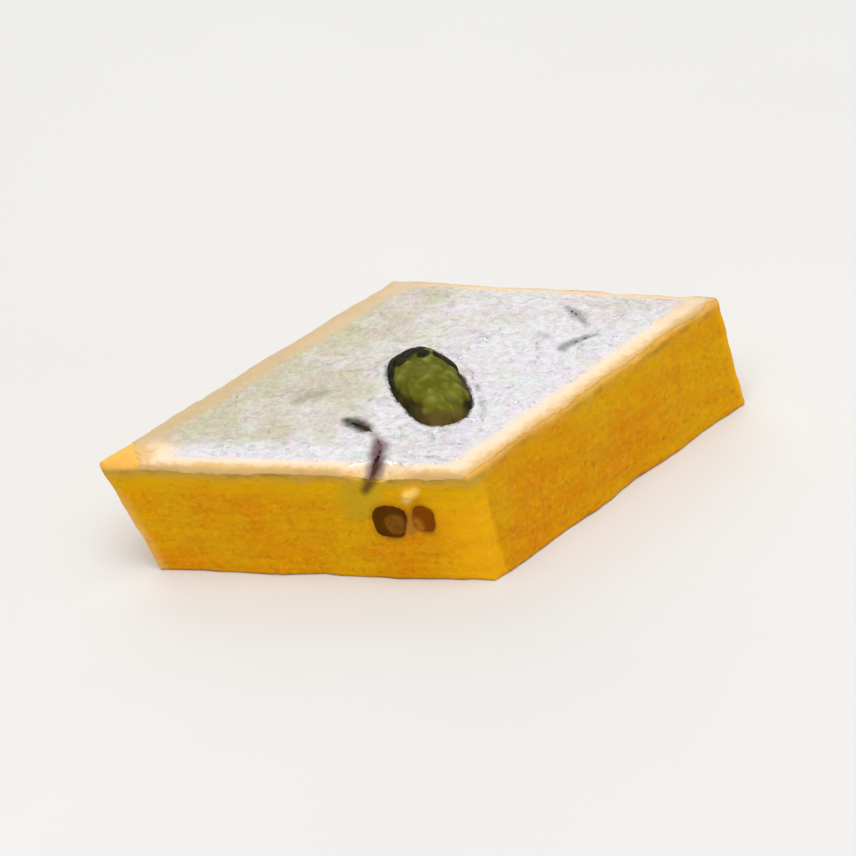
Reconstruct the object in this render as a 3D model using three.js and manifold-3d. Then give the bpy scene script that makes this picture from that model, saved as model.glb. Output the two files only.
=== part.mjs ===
// A diamond-cut piece of saffron cashew barfi: a leaning four-sided slab of nut fudge under a torn skin of
// silver leaf, with half a pistachio kernel pressed into the top and chips of nut showing in the cut sides.
// Millimetres, +Z up. The piece stands on its base, centred on the origin, and its front side faces -Y.

import * as THREE from "three";
import { mergeVertices } from "three/addons/utils/BufferGeometryUtils.js";
import Module from "manifold-3d";

const wasm = await Module();
wasm.setup();

// ---- Driving dimensions: millimetres and degrees, in the slab's own frame, which starts at the front left
// corner of the top outline, with X along the front side and Z up from the base ----

const FRONT_SIDE = 41.0;
const RIGHT_SIDE = 40.5;
const LEFT_SIDE = 44.3;
const RIGHT_SIDE_ANGLE = 61.4;
const LEFT_SIDE_ANGLE = 58.5;
const THICKNESS = 13.5;

// How far the slanting knife carries each base corner to the right of the top corner above it.
const KNIFE_LEAN = { frontLeft: 5.1, frontRight: 1.5, backRight: 1.5, backLeft: 3.0 };
const CORNER_RADIUS = 0.5;
const SHARPEST_CORNER = 0.1;
const TOP_EDGE_RADIUS = 0.7;
const BASE_EDGE_RADIUS = 0.5;
const EDGE_CRUMBLE = 0.2;
const FOOT_FLARE = 0.2;
const FOOT_HEIGHT = 1.1;

// Where the knife dragged the front chips along: the top edge dips, and a bead of fudge is pushed out.
const EDGE_DIP = { at: [31.4, -0.7, THICKNESS + 1.5], radii: [5.6, 2.9, 2.8] };
const PUSHED_BEAD = { at: [34.3, 0.1, THICKNESS - 2.8], radii: [1.1, 0.9, 0.8] };

const LEAF_THICKNESS = 0.3;
const LEAF_MARGIN = 0.1;
const LEAF_CORNER_RADIUS = 1.8;
const LEAF_WANDER = 0.3;
const LEAF_WRINKLE = 0.3;
const LEAF_CELL = 1.7;
const LEAF_HEADROOM = 2;

// The leaf has worn off round the front left corner.
const BARE_CORNER = { at: [0, 0, THICKNESS], radii: [4.8, 4.2, 3] };

// Tears in the leaf: the line each one follows over the top, and its half width. Their tips are this blunt.
const TEAR_TIP = 0.04;
const LEAF_TEARS = [
  { line: [[25.5, 9.1], [28.0, 7.9], [29.7, 6.1], [30.6, 3.9], [30.7, 1.2], [30.5, -2.5]], halfWidth: 0.5 },
  { line: [[44.1, 32.5], [45.5, 31.2], [47.1, 29.2]], halfWidth: 0.35 },
  { line: [[48.8, 27.3], [46.9, 26.1], [45.6, 24.6]], halfWidth: 0.35 },
  { line: [[18.7, 12.8], [19.9, 15.0], [21.8, 16.6]], halfWidth: 0.3 },
];

// The split kernel lies dome up, and its blunt end points away from the front side.
const KERNEL = { length: 16.3, width: 8.8, height: 4.3, sunk: 1.8, at: [33.2, 15.5], turn: 121 };
const KERNEL_ENDS = { blunt: 1.6, round: 1.3 };
const KERNEL_FOLDS = [
  { depth: 0.025, round: 7, along: 3 },
  { depth: 0.02, round: 2, along: 9 },
];

// Chips of nut cut through by the knife: the side each lies in, the share of that side from its start to the
// chip's middle, the height of the middle, and the radii along the side, into the slab and upwards.
const SIDE_CHIPS = [
  { name: "nut_chip_front_large", side: 0, along: 0.748, height: 7.1, radii: [1.95, 1.5, 2.25] },
  { name: "nut_chip_front_small", side: 0, along: 0.845, height: 7.5, radii: [1.25, 1.2, 1.7] },
  { name: "nut_chip_back", side: 2, along: 0.38, height: 8.4, radii: [2.2, 1.6, 1.4] },
  { name: "nut_chip_left", side: 3, along: 0.56, height: 5.2, radii: [1.7, 1.4, 1.3] },
];
const CHIP_LUMPS = [
  { depth: 0.06, rate: [3.1, 2.3] },
  { depth: 0.04, rate: [-2.9, 4.2] },
];
const CHIP_PROUD = 0.15;
const CHIP_FOOT = 0.8;

const FIT_GAP = 0.3;

// ---- Resolution ----

const POINTS_PER_SIDE = 30;
const POINTS_PER_CORNER = 3;
const CORNER_BLEND = 4;
const SIDE_ROWS = 8;
const EDGE_ROWS = 3;

// ---- Materials ----

const MATERIALS = {
  fudge: new THREE.MeshStandardMaterial({ color: 0xdb950f, roughness: 0.55, metalness: 0 }),
  leaf: new THREE.MeshStandardMaterial({ color: 0xe6e3df, roughness: 0.35, metalness: 1 }),
  kernel: new THREE.MeshStandardMaterial({ color: 0x66701f, roughness: 0.6, metalness: 0 }),
  chip: new THREE.MeshStandardMaterial({ color: 0x5a3312, roughness: 0.65, metalness: 0 }),
};

// ---- Solids and geometries ----

function solidFrom(geometry) {
  const bare = geometry.clone();
  bare.deleteAttribute("normal");
  bare.deleteAttribute("uv");
  const merged = mergeVertices(bare);
  const vertProperties = merged.attributes.position.array;
  const triVerts = new Uint32Array(merged.index.array);
  return new wasm.Manifold(new wasm.Mesh({ numProp: 3, vertProperties, triVerts }));
}

function geometryFrom(solid) {
  const { vertProperties, triVerts } = solid.getMesh();
  const geometry = new THREE.BufferGeometry();
  geometry.setAttribute("position", new THREE.BufferAttribute(new Float32Array(vertProperties), 3));
  geometry.setIndex(new THREE.BufferAttribute(new Uint32Array(triVerts), 1));
  geometry.computeVertexNormals();
  return geometry;
}

// An ellipsoid given by its middle and radii, as a cutter or a blob.
function ellipsoid({ at, radii }) {
  return solidFrom(new THREE.SphereGeometry(1, 20, 12).scale(...radii).translate(...at));
}

// A cube given by its side and middle, as a cutter that trims a piece flat.
function cubeFrom(side, x, y, z) {
  return solidFrom(new THREE.BoxGeometry(side, side, side).translate(x, y, z));
}

// ---- The slab's outline ----

const ORIGIN = new THREE.Vector2(0, 0);

function polar(length, degrees) {
  return new THREE.Vector2(length, 0).rotateAround(ORIGIN, THREE.MathUtils.degToRad(degrees));
}

const TOP_CORNERS = [
  ORIGIN.clone(),
  new THREE.Vector2(FRONT_SIDE, 0),
  new THREE.Vector2(FRONT_SIDE, 0).add(polar(RIGHT_SIDE, RIGHT_SIDE_ANGLE)),
  polar(LEFT_SIDE, LEFT_SIDE_ANGLE),
];
const BASE_CORNERS = Object.values(KNIFE_LEAN).map(
  (lean, i) => TOP_CORNERS[i].clone().setX(TOP_CORNERS[i].x + lean),
);

function cornersAt(height) {
  return BASE_CORNERS.map((corner, i) => corner.clone().lerp(TOP_CORNERS[i], height / THICKNESS));
}

// The outward normal of the side that starts at each corner.
function sideNormals(corners) {
  return corners.map((corner, i) => {
    const side = corners[(i + 1) % corners.length].clone().sub(corner).normalize();
    return new THREE.Vector2(side.y, -side.x);
  });
}

function insetCorners(corners, inset) {
  const normals = sideNormals(corners);
  return corners.map((corner, i) => {
    const before = normals[(i + corners.length - 1) % corners.length];
    const reach = inset / (1 + before.dot(normals[i]));
    return corner.clone().addScaledVector(before, -reach).addScaledVector(normals[i], -reach);
  });
}

// Points round the corners, anticlockwise, with each corner rounded, and the outward normal at each point.
function roundedRing(corners, radius) {
  const centres = insetCorners(corners, radius);
  const normals = sideNormals(corners);
  const ring = [];
  centres.forEach((centre, i) => {
    const start = normals[(i + corners.length - 1) % corners.length].angle();
    const turn = THREE.MathUtils.euclideanModulo(normals[i].angle() - start, 2 * Math.PI);
    for (let k = 0; k <= POINTS_PER_CORNER; k++) {
      const outward = new THREE.Vector2(1, 0).rotateAround(ORIGIN, start + (turn * k) / POINTS_PER_CORNER);
      ring.push({ point: centre.clone().addScaledVector(outward, radius), outward });
    }
    for (let k = 1; k < POINTS_PER_SIDE; k++) {
      const middle = centre.clone().lerp(centres[(i + 1) % corners.length], k / POINTS_PER_SIDE);
      ring.push({ point: middle.addScaledVector(normals[i], radius), outward: normals[i].clone() });
    }
  });
  return ring;
}

// The outward direction at each point of a ring, averaged with its neighbours, so that relief carries both
// sides of a corner the same way and doesn't fold it over.
function blendedOutward(ring) {
  return ring.map((_, i) => {
    const sum = new THREE.Vector2();
    for (let k = -CORNER_BLEND; k <= CORNER_BLEND; k++) sum.add(ring.at((i + k) % ring.length).outward);
    return sum.normalize();
  });
}

// A point on the nominal cut face of a side, some way along it and up it.
function pointOnSide(side, along, height) {
  const corners = cornersAt(height);
  const point = corners[side].clone().lerp(corners[(side + 1) % corners.length], along);
  return new THREE.Vector3(point.x, point.y, height);
}

// ---- The slab ----

// How far the cut face stands out at a point: long waves from the knife, shorter ones from the nut paste.
const CUT_WAVES = [
  { depth: 0.14, rate: [0.42, 0.35, 0.1], phase: 0.6 },
  { depth: 0.06, rate: [0.95, -0.8, 0.25], phase: 2.1 },
  { depth: 0.03, rate: [1.9, 1.6, -0.35], phase: 4.0 },
  { depth: 0.04, rate: [-0.7, 1.1, 1.7], phase: 1.2 },
];

function cutRelief(x, y, z) {
  const waves = CUT_WAVES.map(
    ({ depth, rate, phase }) => depth * Math.sin(rate[0] * x + rate[1] * y + rate[2] * z + phase),
  );
  return waves.reduce((sum, wave) => sum + wave, FOOT_FLARE * Math.exp(-z / FOOT_HEIGHT));
}

// How much more or less than its radius an edge has crumbled away at a place.
function crumble(x, y) {
  return 1 + EDGE_CRUMBLE * (0.6 * Math.sin(0.83 * x - 1.1 * y + 0.4) + 0.4 * Math.sin(1.9 * x + 1.3 * y));
}

// The heights of the slab's rings, and how far each is drawn in to round the base and top edges.
function slabLevels() {
  const quarter = Array.from({ length: EDGE_ROWS + 1 }, (_, k) => ((Math.PI / 2) * k) / EDGE_ROWS);
  const base = quarter.map((angle) => ({
    height: BASE_EDGE_RADIUS * (1 - Math.cos(angle)),
    inset: BASE_EDGE_RADIUS * (1 - Math.sin(angle)),
  }));
  const top = quarter.map((angle) => ({
    height: THICKNESS - TOP_EDGE_RADIUS * (1 - Math.sin(angle)),
    inset: TOP_EDGE_RADIUS * (1 - Math.cos(angle)),
  }));
  const straight = THICKNESS - BASE_EDGE_RADIUS - TOP_EDGE_RADIUS;
  const side = Array.from({ length: SIDE_ROWS - 1 }, (_, k) => ({
    height: BASE_EDGE_RADIUS + (straight * (k + 1)) / SIDE_ROWS,
    inset: 0,
  }));
  return [...base, ...side, ...top];
}

function capFaces(ring) {
  return THREE.ShapeUtils.triangulateShape(
    ring.map(({ x, y }) => new THREE.Vector2(x, y)),
    [],
  );
}

// Joins rings of equal length into a closed skin, with a flat cap at the first and the last.
function loft(rings) {
  const count = rings[0].length;
  const faces = [];
  for (let row = 0; row + 1 < rings.length; row++) {
    for (let i = 0; i < count; i++) {
      const [a, b] = [row * count + i, row * count + ((i + 1) % count)];
      faces.push(a, b, b + count, a, b + count, a + count);
    }
  }
  const last = (rings.length - 1) * count;
  capFaces(rings[0]).forEach(([a, b, c]) => faces.push(a, c, b));
  capFaces(rings.at(-1)).forEach(([a, b, c]) => faces.push(last + a, last + b, last + c));
  const geometry = new THREE.BufferGeometry().setFromPoints(rings.flat());
  return geometry.setIndex(faces);
}

function bareSlab() {
  const rings = slabLevels().map(({ height, inset }) => {
    const radius = Math.max(CORNER_RADIUS - inset, SHARPEST_CORNER);
    const ring = roundedRing(insetCorners(cornersAt(height), inset), radius);
    const outward = blendedOutward(ring);
    return ring.map(({ point }, i) => {
      const reach = cutRelief(point.x, point.y, height) - inset * (crumble(point.x, point.y) - 1);
      const { x, y } = point.clone().addScaledVector(outward[i], reach);
      return new THREE.Vector3(x, y, height);
    });
  });
  return solidFrom(loft(rings));
}

function fudgeSlab(pockets) {
  const cutters = [ellipsoid(EDGE_DIP), ...pockets];
  return cutters.reduce((slab, cutter) => slab.subtract(cutter), bareSlab().add(ellipsoid(PUSHED_BEAD)));
}

// ---- The silver leaf ----

// How far the torn edge of the leaf wanders inwards, by its place on the top.
function leafWander(x, y) {
  return LEAF_WANDER * (1 + 0.6 * Math.sin(0.9 * x + 0.5 * y) + 0.4 * Math.sin(2.3 * x - 1.7 * y + 1.1));
}

// Sharp creases that cross each other and bend, with flatter ground between them.
const CREASES = [
  { share: 0.45, rate: [0.42, 0.13], bend: [0.9, 0.33], phase: 0.3 },
  { share: 0.35, rate: [-0.16, 0.47], bend: [0.8, 0.29], phase: 1.9 },
  { share: 0.2, rate: [0.61, 0.68], bend: [0.7, 0.51], phase: 0.9 },
];

function wrinkleHeight(x, y) {
  const heights = CREASES.map(({ share, rate, bend, phase }) => {
    const across = rate[0] * x + rate[1] * y + phase;
    const along = rate[0] * y - rate[1] * x;
    return share * (1 - Math.abs(Math.sin(across + bend[0] * Math.sin(along / bend[1]))));
  });
  return LEAF_WRINKLE * heights.reduce((sum, height) => sum + height, 0);
}

// An outline drawn up from a height to well above the leaf.
function prism(outline, bottom) {
  const depth = THICKNESS + LEAF_HEADROOM - bottom;
  const shape = new THREE.ExtrudeGeometry(new THREE.Shape(outline), { depth, bevelEnabled: false });
  return solidFrom(shape.translate(0, 0, bottom));
}

// The leaf stops short of the slab's top edge, wherever the relief and the crumbling have put it.
function leafOutline() {
  const corners = insetCorners(TOP_CORNERS, TOP_EDGE_RADIUS + LEAF_MARGIN);
  return roundedRing(corners, LEAF_CORNER_RADIUS).map(({ point, outward }) => {
    const { x, y } = point;
    const reach = cutRelief(x, y, THICKNESS) - TOP_EDGE_RADIUS * (crumble(x, y) - 1) - leafWander(x, y);
    return point.clone().addScaledVector(outward, reach);
  });
}

// A flat-bottomed sheet over the whole top whose upper face carries the wrinkles.
function wrinkledSheet() {
  const box = new THREE.Box2().setFromPoints(TOP_CORNERS);
  const size = box.getSize(new THREE.Vector2());
  const centre = box.getCenter(new THREE.Vector2());
  const cells = size.clone().divideScalar(LEAF_CELL).round();
  const sheet = new THREE.BoxGeometry(size.x, size.y, LEAF_THICKNESS, cells.x, cells.y, 1);
  sheet.translate(centre.x, centre.y, THICKNESS + LEAF_THICKNESS / 2);
  const position = sheet.attributes.position;
  for (let i = 0; i < position.count; i++) {
    const [x, y, z] = [position.getX(i), position.getY(i), position.getZ(i)];
    if (z > THICKNESS + LEAF_THICKNESS / 2) position.setZ(i, z + wrinkleHeight(x, y));
  }
  return solidFrom(sheet);
}

// The gap that a tear opens: a strip along its line that narrows to a point at the ends.
function tearCutter({ line, halfWidth }) {
  const curve = new THREE.SplineCurve(line.map(([x, y]) => new THREE.Vector2(x, y)));
  const steps = 4 * line.length;
  const edge = (way) =>
    Array.from({ length: steps + 1 }, (_, k) => {
      const along = k / steps;
      const tangent = curve.getTangent(along);
      const swell = Math.sin(Math.PI * THREE.MathUtils.lerp(TEAR_TIP, 1 - TEAR_TIP, along));
      const reach = way * halfWidth * Math.sqrt(swell);
      return curve.getPoint(along).add(new THREE.Vector2(-tangent.y, tangent.x).multiplyScalar(reach));
    });
  return prism([...edge(-1), ...edge(1).reverse()], THICKNESS - LEAF_HEADROOM);
}

function silverLeaf(holes) {
  const dip = { ...EDGE_DIP, radii: EDGE_DIP.radii.map((radius) => radius + FIT_GAP) };
  const cutters = [...LEAF_TEARS.map(tearCutter), ellipsoid(dip), ellipsoid(BARE_CORNER), ...holes];
  const cover = prism(leafOutline(), THICKNESS);
  return cutters.reduce((leaf, cutter) => leaf.subtract(cutter), wrinkledSheet().intersect(cover));
}

// ---- The pistachio kernel ----

// Half a kernel lying on its split face, with its length along X. spare widens it all round for its pocket.
function kernelHalf(spare = 0) {
  const kernel = new THREE.SphereGeometry(1, 32, 20).rotateZ(-Math.PI / 2);
  const position = kernel.attributes.position;
  for (let i = 0; i < position.count; i++) {
    const [along, across, up] = [position.getX(i), position.getY(i), position.getZ(i)];
    const fullness = along > 0 ? KERNEL_ENDS.blunt : KERNEL_ENDS.round;
    const reach = Math.sign(along) * (1 - (1 - Math.abs(along)) ** fullness);
    const round = Math.atan2(up, across);
    const folds = KERNEL_FOLDS.map((fold) => fold.depth * Math.sin(fold.round * round + fold.along * along));
    const wrinkle = folds.reduce((sum, fold) => sum + fold, 1);
    position.setXYZ(
      i,
      reach * (KERNEL.length / 2 + spare),
      across * wrinkle * (KERNEL.width / 2 + spare),
      up * wrinkle * (KERNEL.height + spare),
    );
  }
  const side = 2 * KERNEL.length;
  return solidFrom(kernel).subtract(cubeFrom(side, 0, 0, -side / 2));
}

// ---- The chips in the sides ----

// An uneven lump on a flat foot, which is as deep below its middle in the pocket as on the chip.
function chipBlob(radii, spare = 0) {
  const blob = new THREE.IcosahedronGeometry(1, 2);
  const position = blob.attributes.position;
  for (let i = 0; i < position.count; i++) {
    const [x, y, z] = [position.getX(i), position.getY(i), position.getZ(i)];
    const lumps = CHIP_LUMPS.map(({ depth, rate }) => depth * Math.sin(rate[0] * x + rate[1] * z + radii[2]));
    const size = lumps.reduce((sum, lump) => sum + lump, 1);
    const [wide, deep, high] = radii.map((radius) => size * (radius + spare));
    position.setXYZ(i, x * wide, y * deep, z * high);
  }
  const side = 4 * Math.max(...radii);
  return solidFrom(blob).subtract(cubeFrom(side, 0, 0, -side / 2 - CHIP_FOOT * radii[2]));
}

// A chip with its flat cut face looking along -Y, a little proud of the slab.
function cutChip({ radii }) {
  const side = 4 * Math.max(...radii);
  return chipBlob(radii).subtract(cubeFrom(side, 0, -side / 2 - CHIP_PROUD, 0));
}

function placeChip(mesh, { side, along, height }) {
  mesh.position.copy(pointOnSide(side, along, height));
  mesh.rotation.z = sideNormals(cornersAt(height))[side].angle() + Math.PI / 2;
}

// ---- Assembly ----

function pieceMesh(name, solid, material) {
  const mesh = new THREE.Mesh(geometryFrom(solid), material);
  mesh.name = name;
  return mesh;
}

function inPlaceOf(mesh, solid) {
  mesh.updateMatrix();
  return solidFrom(geometryFrom(solid).applyMatrix4(mesh.matrix));
}

const kernel = pieceMesh("pistachio_half", kernelHalf(), MATERIALS.kernel);
kernel.position.set(...KERNEL.at, THICKNESS - KERNEL.sunk);
kernel.rotation.z = THREE.MathUtils.degToRad(KERNEL.turn);
const kernelPocket = inPlaceOf(kernel, kernelHalf(FIT_GAP));

const chips = SIDE_CHIPS.map((chip) => {
  const mesh = pieceMesh(chip.name, cutChip(chip), MATERIALS.chip);
  placeChip(mesh, chip);
  return mesh;
});
const chipPockets = chips.map((mesh, i) => inPlaceOf(mesh, chipBlob(SIDE_CHIPS[i].radii, FIT_GAP)));

const slab = pieceMesh("fudge_block", fudgeSlab([kernelPocket, ...chipPockets]), MATERIALS.fudge);
const leaf = pieceMesh("silver_leaf", silverLeaf([kernelPocket]), MATERIALS.leaf);

const barfi = new THREE.Group();
barfi.add(slab, leaf, kernel, ...chips);
const middle = new THREE.Box3().setFromObject(barfi, true).getCenter(new THREE.Vector3());
barfi.children.forEach((mesh) => mesh.position.sub(new THREE.Vector3(middle.x, middle.y, 0)));

export default barfi;
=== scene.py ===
"""The looks of a diamond-cut piece of cashew barfi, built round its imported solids.

Shapes are worked out in the slab frame, in millimetres. It starts at the front left corner of
the top outline, with X along the front side and Z up from the base. Every mesh is then moved
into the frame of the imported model, in metres.
"""

import logging
import math
from collections.abc import Iterable, Sequence
from dataclasses import dataclass
from enum import Enum
from functools import cached_property

import bmesh
import bpy
import numpy as np
from mathutils import Matrix, Vector, noise
from mathutils.bvhtree import BVHTree

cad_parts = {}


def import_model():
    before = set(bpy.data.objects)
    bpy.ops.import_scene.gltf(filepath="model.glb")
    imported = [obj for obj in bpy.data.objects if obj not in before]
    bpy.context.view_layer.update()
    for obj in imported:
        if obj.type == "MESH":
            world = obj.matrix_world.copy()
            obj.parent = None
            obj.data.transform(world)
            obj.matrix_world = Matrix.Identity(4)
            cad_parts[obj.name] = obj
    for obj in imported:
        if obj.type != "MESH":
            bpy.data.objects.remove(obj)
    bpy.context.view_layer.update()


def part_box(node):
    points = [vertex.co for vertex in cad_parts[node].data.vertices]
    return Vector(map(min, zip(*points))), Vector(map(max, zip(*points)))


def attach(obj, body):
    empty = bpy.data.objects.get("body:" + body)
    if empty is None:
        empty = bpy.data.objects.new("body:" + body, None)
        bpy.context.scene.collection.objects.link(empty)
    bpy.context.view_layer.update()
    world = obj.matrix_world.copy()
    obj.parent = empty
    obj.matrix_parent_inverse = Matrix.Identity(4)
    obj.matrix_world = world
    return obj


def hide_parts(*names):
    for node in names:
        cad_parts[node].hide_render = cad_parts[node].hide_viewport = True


LOG = logging.getLogger("barfi")
MM = 0.001
BODY = "root"

Array = np.ndarray
Faces = list[tuple[int, ...]]
Pair = tuple[float, float]
Triple = tuple[float, float, float]
Four = tuple[float, float, float, float]
Socket = bpy.types.NodeSocket


# ---- Small tools ----


def paint(red: int, green: int, blue: int) -> Four:
    """Returns the linear colour of a screen colour whose channels run from 0 to 255."""

    def channel(value: int) -> float:
        """Returns one channel, made linear."""
        share = value / 255
        return share / 12.92 if share <= 0.04045 else ((share + 0.055) / 1.055) ** 2.4

    return (channel(red), channel(green), channel(blue), 1.0)


def ramp(low: float | Array, high: float, values: Array) -> Array:
    """Returns 0 where values are at low, 1 where they are at high, and a smooth step between.

    Args:
        low: The value that gives 0, for all values or for each.
        high: The value that gives 1, which may be the smaller of the two.
        values: The values to grade.

    Returns:
        The grades, from 0 to 1.
    """
    share = np.clip((values - low) / (high - low), 0, 1)
    return share * share * (3 - 2 * share)


def hump(distance: Array, width: float) -> Array:
    """Returns a bell that is 1 at distance 0 and fades over width."""
    return np.exp(-((distance / width) ** 2))


def soft_floor(values: Array, floor: float | Array, blend: float) -> Array:
    """Returns values kept above floor, with a round corner of the size of blend."""
    return 0.5 * (values + floor + np.sqrt((values - floor) ** 2 + blend**2))


def strongest(masks: Iterable[Array]) -> Array:
    """Returns the highest of the masks at each point."""
    return np.maximum.reduce(list(masks))


def to_3d(points: Array, height: float = 0.0) -> Array:
    """Returns flat points lifted to a height."""
    return np.column_stack([points, np.full(len(points), height)])


SEED_STEP = (1.0, 1.7, -0.9)
DRAW_SPREAD = 7.3


@dataclass(frozen=True)
class Lumps:
    """Fractal noise over points in millimetres.

    Attributes:
        size: How far apart the largest lumps lie.
        octaves: How many finer layers it has, the first included.
        seed: Moves the pattern, so that two fields don't match.
        stretch: How much longer the lumps are along each axis.
        depth: How high the smooth lumps stand, or how deep the pits are.
    """

    size: float
    octaves: int = 3
    seed: float = 0.0
    stretch: Triple = (1.0, 1.0, 1.0)
    depth: float = 1.0

    def places(self, points: Array) -> Iterable[Vector]:
        """Returns where in the pattern each point lies."""
        shift = Vector([step * self.seed for step in SEED_STEP])
        scale = self.size * np.array(self.stretch)
        return (Vector(place) + shift for place in points / scale)

    def fractal(self, points: Array) -> Array:
        """Returns the bare noise, from about -1 to 1, at each point."""
        places = self.places(points)
        return np.array([noise.fractal(place, 1.0, 2.0, self.octaves) for place in places])

    def at(self, points: Array) -> Array:
        """Returns smooth lumps at each point."""
        return self.depth * self.fractal(points)

    def creased(self, points: Array) -> Array:
        """Returns noise with sharp ridges, from 0 to about 1, at each point."""
        return 1 - np.abs(self.fractal(points))

    def pitted(self, points: Array, radius: float, share: float) -> Array:
        """Returns how deep inside a pit each point lies.

        Args:
            points: The points, in millimetres.
            radius: The radius of a pit, as a share of size.
            share: How many of the cells have a pit, from 0 to 1.

        Returns:
            The depth in the middle of a pit, falling to 0 at its brim.
        """
        depths = []
        for place in self.places(points):
            distances, cells = noise.voronoi(place)
            chosen = noise.cell(cells[0] * DRAW_SPREAD) < share
            depths.append(max(0.0, 1 - distances[0] / radius) if chosen else 0.0)
        return self.depth * np.array(depths)


# ---- Forms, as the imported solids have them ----


@dataclass(frozen=True)
class Wave:
    """One sine wave of relief: its depth, its rate along each axis, and its phase."""

    depth: float
    rate: Triple
    phase: float

    def at(self, points: Array) -> Array:
        """Returns the wave's height at each point."""
        return self.depth * np.sin(points @ np.array(self.rate) + self.phase)


@dataclass(frozen=True)
class SlabForm:
    """The slab's driving dimensions, in millimetres and degrees.

    Where there are four values, they go round from the front left corner, or the front side.
    """

    front_side: float = 41.0
    right_side: float = 40.5
    left_side: float = 44.3
    right_side_angle: float = 61.4
    left_side_angle: float = 58.5
    thickness: float = 13.5
    knife_lean: Four = (5.1, 1.5, 1.5, 3.0)
    corner_radius: float = 0.5
    sharpest_corner: float = 0.1
    corner_blend: float = 1.5
    top_edge_radius: float = 0.7
    base_edge_radius: float = 0.5
    edge_crumble: float = 0.2
    foot_flare: float = 0.2
    foot_height: float = 1.1
    waves: tuple[Wave, ...] = (
        Wave(0.14, (0.42, 0.35, 0.1), 0.6),
        Wave(0.06, (0.95, -0.8, 0.25), 2.1),
        Wave(0.03, (1.9, 1.6, -0.35), 4.0),
        Wave(0.04, (-0.7, 1.1, 1.7), 1.2),
    )
    crumbles: tuple[Wave, ...] = (
        Wave(0.6, (0.83, -1.1, 0.0), 0.4),
        Wave(0.4, (1.9, 1.3, 0.0), 0.0),
    )

    def top_corners(self) -> Array:
        """Returns the corners of the top: front left, front right, back right, back left."""
        right, left = math.radians(self.right_side_angle), math.radians(self.left_side_angle)
        front_right = np.array([self.front_side, 0.0])
        back_right = front_right + self.right_side * np.array([math.cos(right), math.sin(right)])
        back_left = self.left_side * np.array([math.cos(left), math.sin(left)])
        return np.array([[0.0, 0.0], front_right, back_right, back_left])

    def corners_at(self, height: float) -> Array:
        """Returns the outline's corners at a height, which lean right towards the base."""
        lean = np.array(self.knife_lean) * (1 - height / self.thickness)
        return self.top_corners() + np.column_stack([lean, np.zeros(4)])

    @staticmethod
    def side_normals(corners: Array) -> Array:
        """Returns the outward direction of the side that starts at each corner."""
        sides = np.roll(corners, -1, axis=0) - corners
        sides /= np.linalg.norm(sides, axis=1, keepdims=True)
        return np.column_stack([sides[:, 1], -sides[:, 0]])

    def inset(self, corners: Array, amount: float) -> Array:
        """Returns the corners of the outline that lies an amount inside the given one."""
        after = self.side_normals(corners)
        before = np.roll(after, 1, axis=0)
        reach = amount / (1 + np.sum(before * after, axis=1, keepdims=True))
        return corners - reach * (before + after)

    def ring(
        self, height: float, inset: float, per_side: int, per_corner: int
    ) -> tuple[Array, Array]:
        """Returns the outline at a height, with round corners, before any relief.

        Args:
            height: The height over the base.
            inset: How far the outline is drawn in all round.
            per_side: How many steps each straight side has.
            per_corner: How many steps each corner has.

        Returns:
            The ring's points, anticlockwise from the front left corner, and the outward
            direction at each. The directions turn gently past each corner, so that relief
            carries both sides of it the same way.
        """
        radius = max(self.corner_radius - inset, self.sharpest_corner)
        corners = self.corners_at(height)
        centres = self.inset(corners, inset + radius)
        normals = self.side_normals(corners)
        angles = np.arctan2(normals[:, 1], normals[:, 0])
        points, outward = [], []
        for i, centre in enumerate(centres):
            turn = (angles[i] - angles[i - 1]) % (2 * math.pi)
            arc = angles[i - 1] + turn * np.linspace(0, 1, per_corner + 1)
            round_corner = np.column_stack([np.cos(arc), np.sin(arc)])
            along = np.arange(1, per_side)[:, None] / per_side
            middle = centre + along * (centres[(i + 1) % 4] - centre)
            points += [centre + radius * round_corner, middle + radius * normals[i]]
            outward += [round_corner, np.tile(normals[i], (per_side - 1, 1))]
        reach = max(1, round(self.corner_blend * per_side / self.front_side))
        directions = np.concatenate(outward)
        total = sum(np.roll(directions, k, axis=0) for k in range(-reach, reach + 1))
        return np.concatenate(points), total / np.linalg.norm(total, axis=1, keepdims=True)

    def relief(self, points: Array) -> Array:
        """Returns how far the cut face stands out at each point."""
        flare = self.foot_flare * np.exp(-points[:, 2] / self.foot_height)
        return sum((wave.at(points) for wave in self.waves), flare)

    def crumble(self, points: Array) -> Array:
        """Returns how many times its radius an edge has crumbled away at each point."""
        return 1 + self.edge_crumble * sum(wave.at(points) for wave in self.crumbles)

    def point_on_side(self, side: int, along: float, height: float) -> Array:
        """Returns the point of a cut face some way along its side, at a height."""
        corners = self.corners_at(height)
        place = corners[side] + along * (corners[(side + 1) % 4] - corners[side])
        return np.array([*place, height])


class Side(Enum):
    """The slab's cut faces, by the corner that each starts from."""

    FRONT = 0
    RIGHT = 1
    BACK = 2
    LEFT = 3


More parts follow.
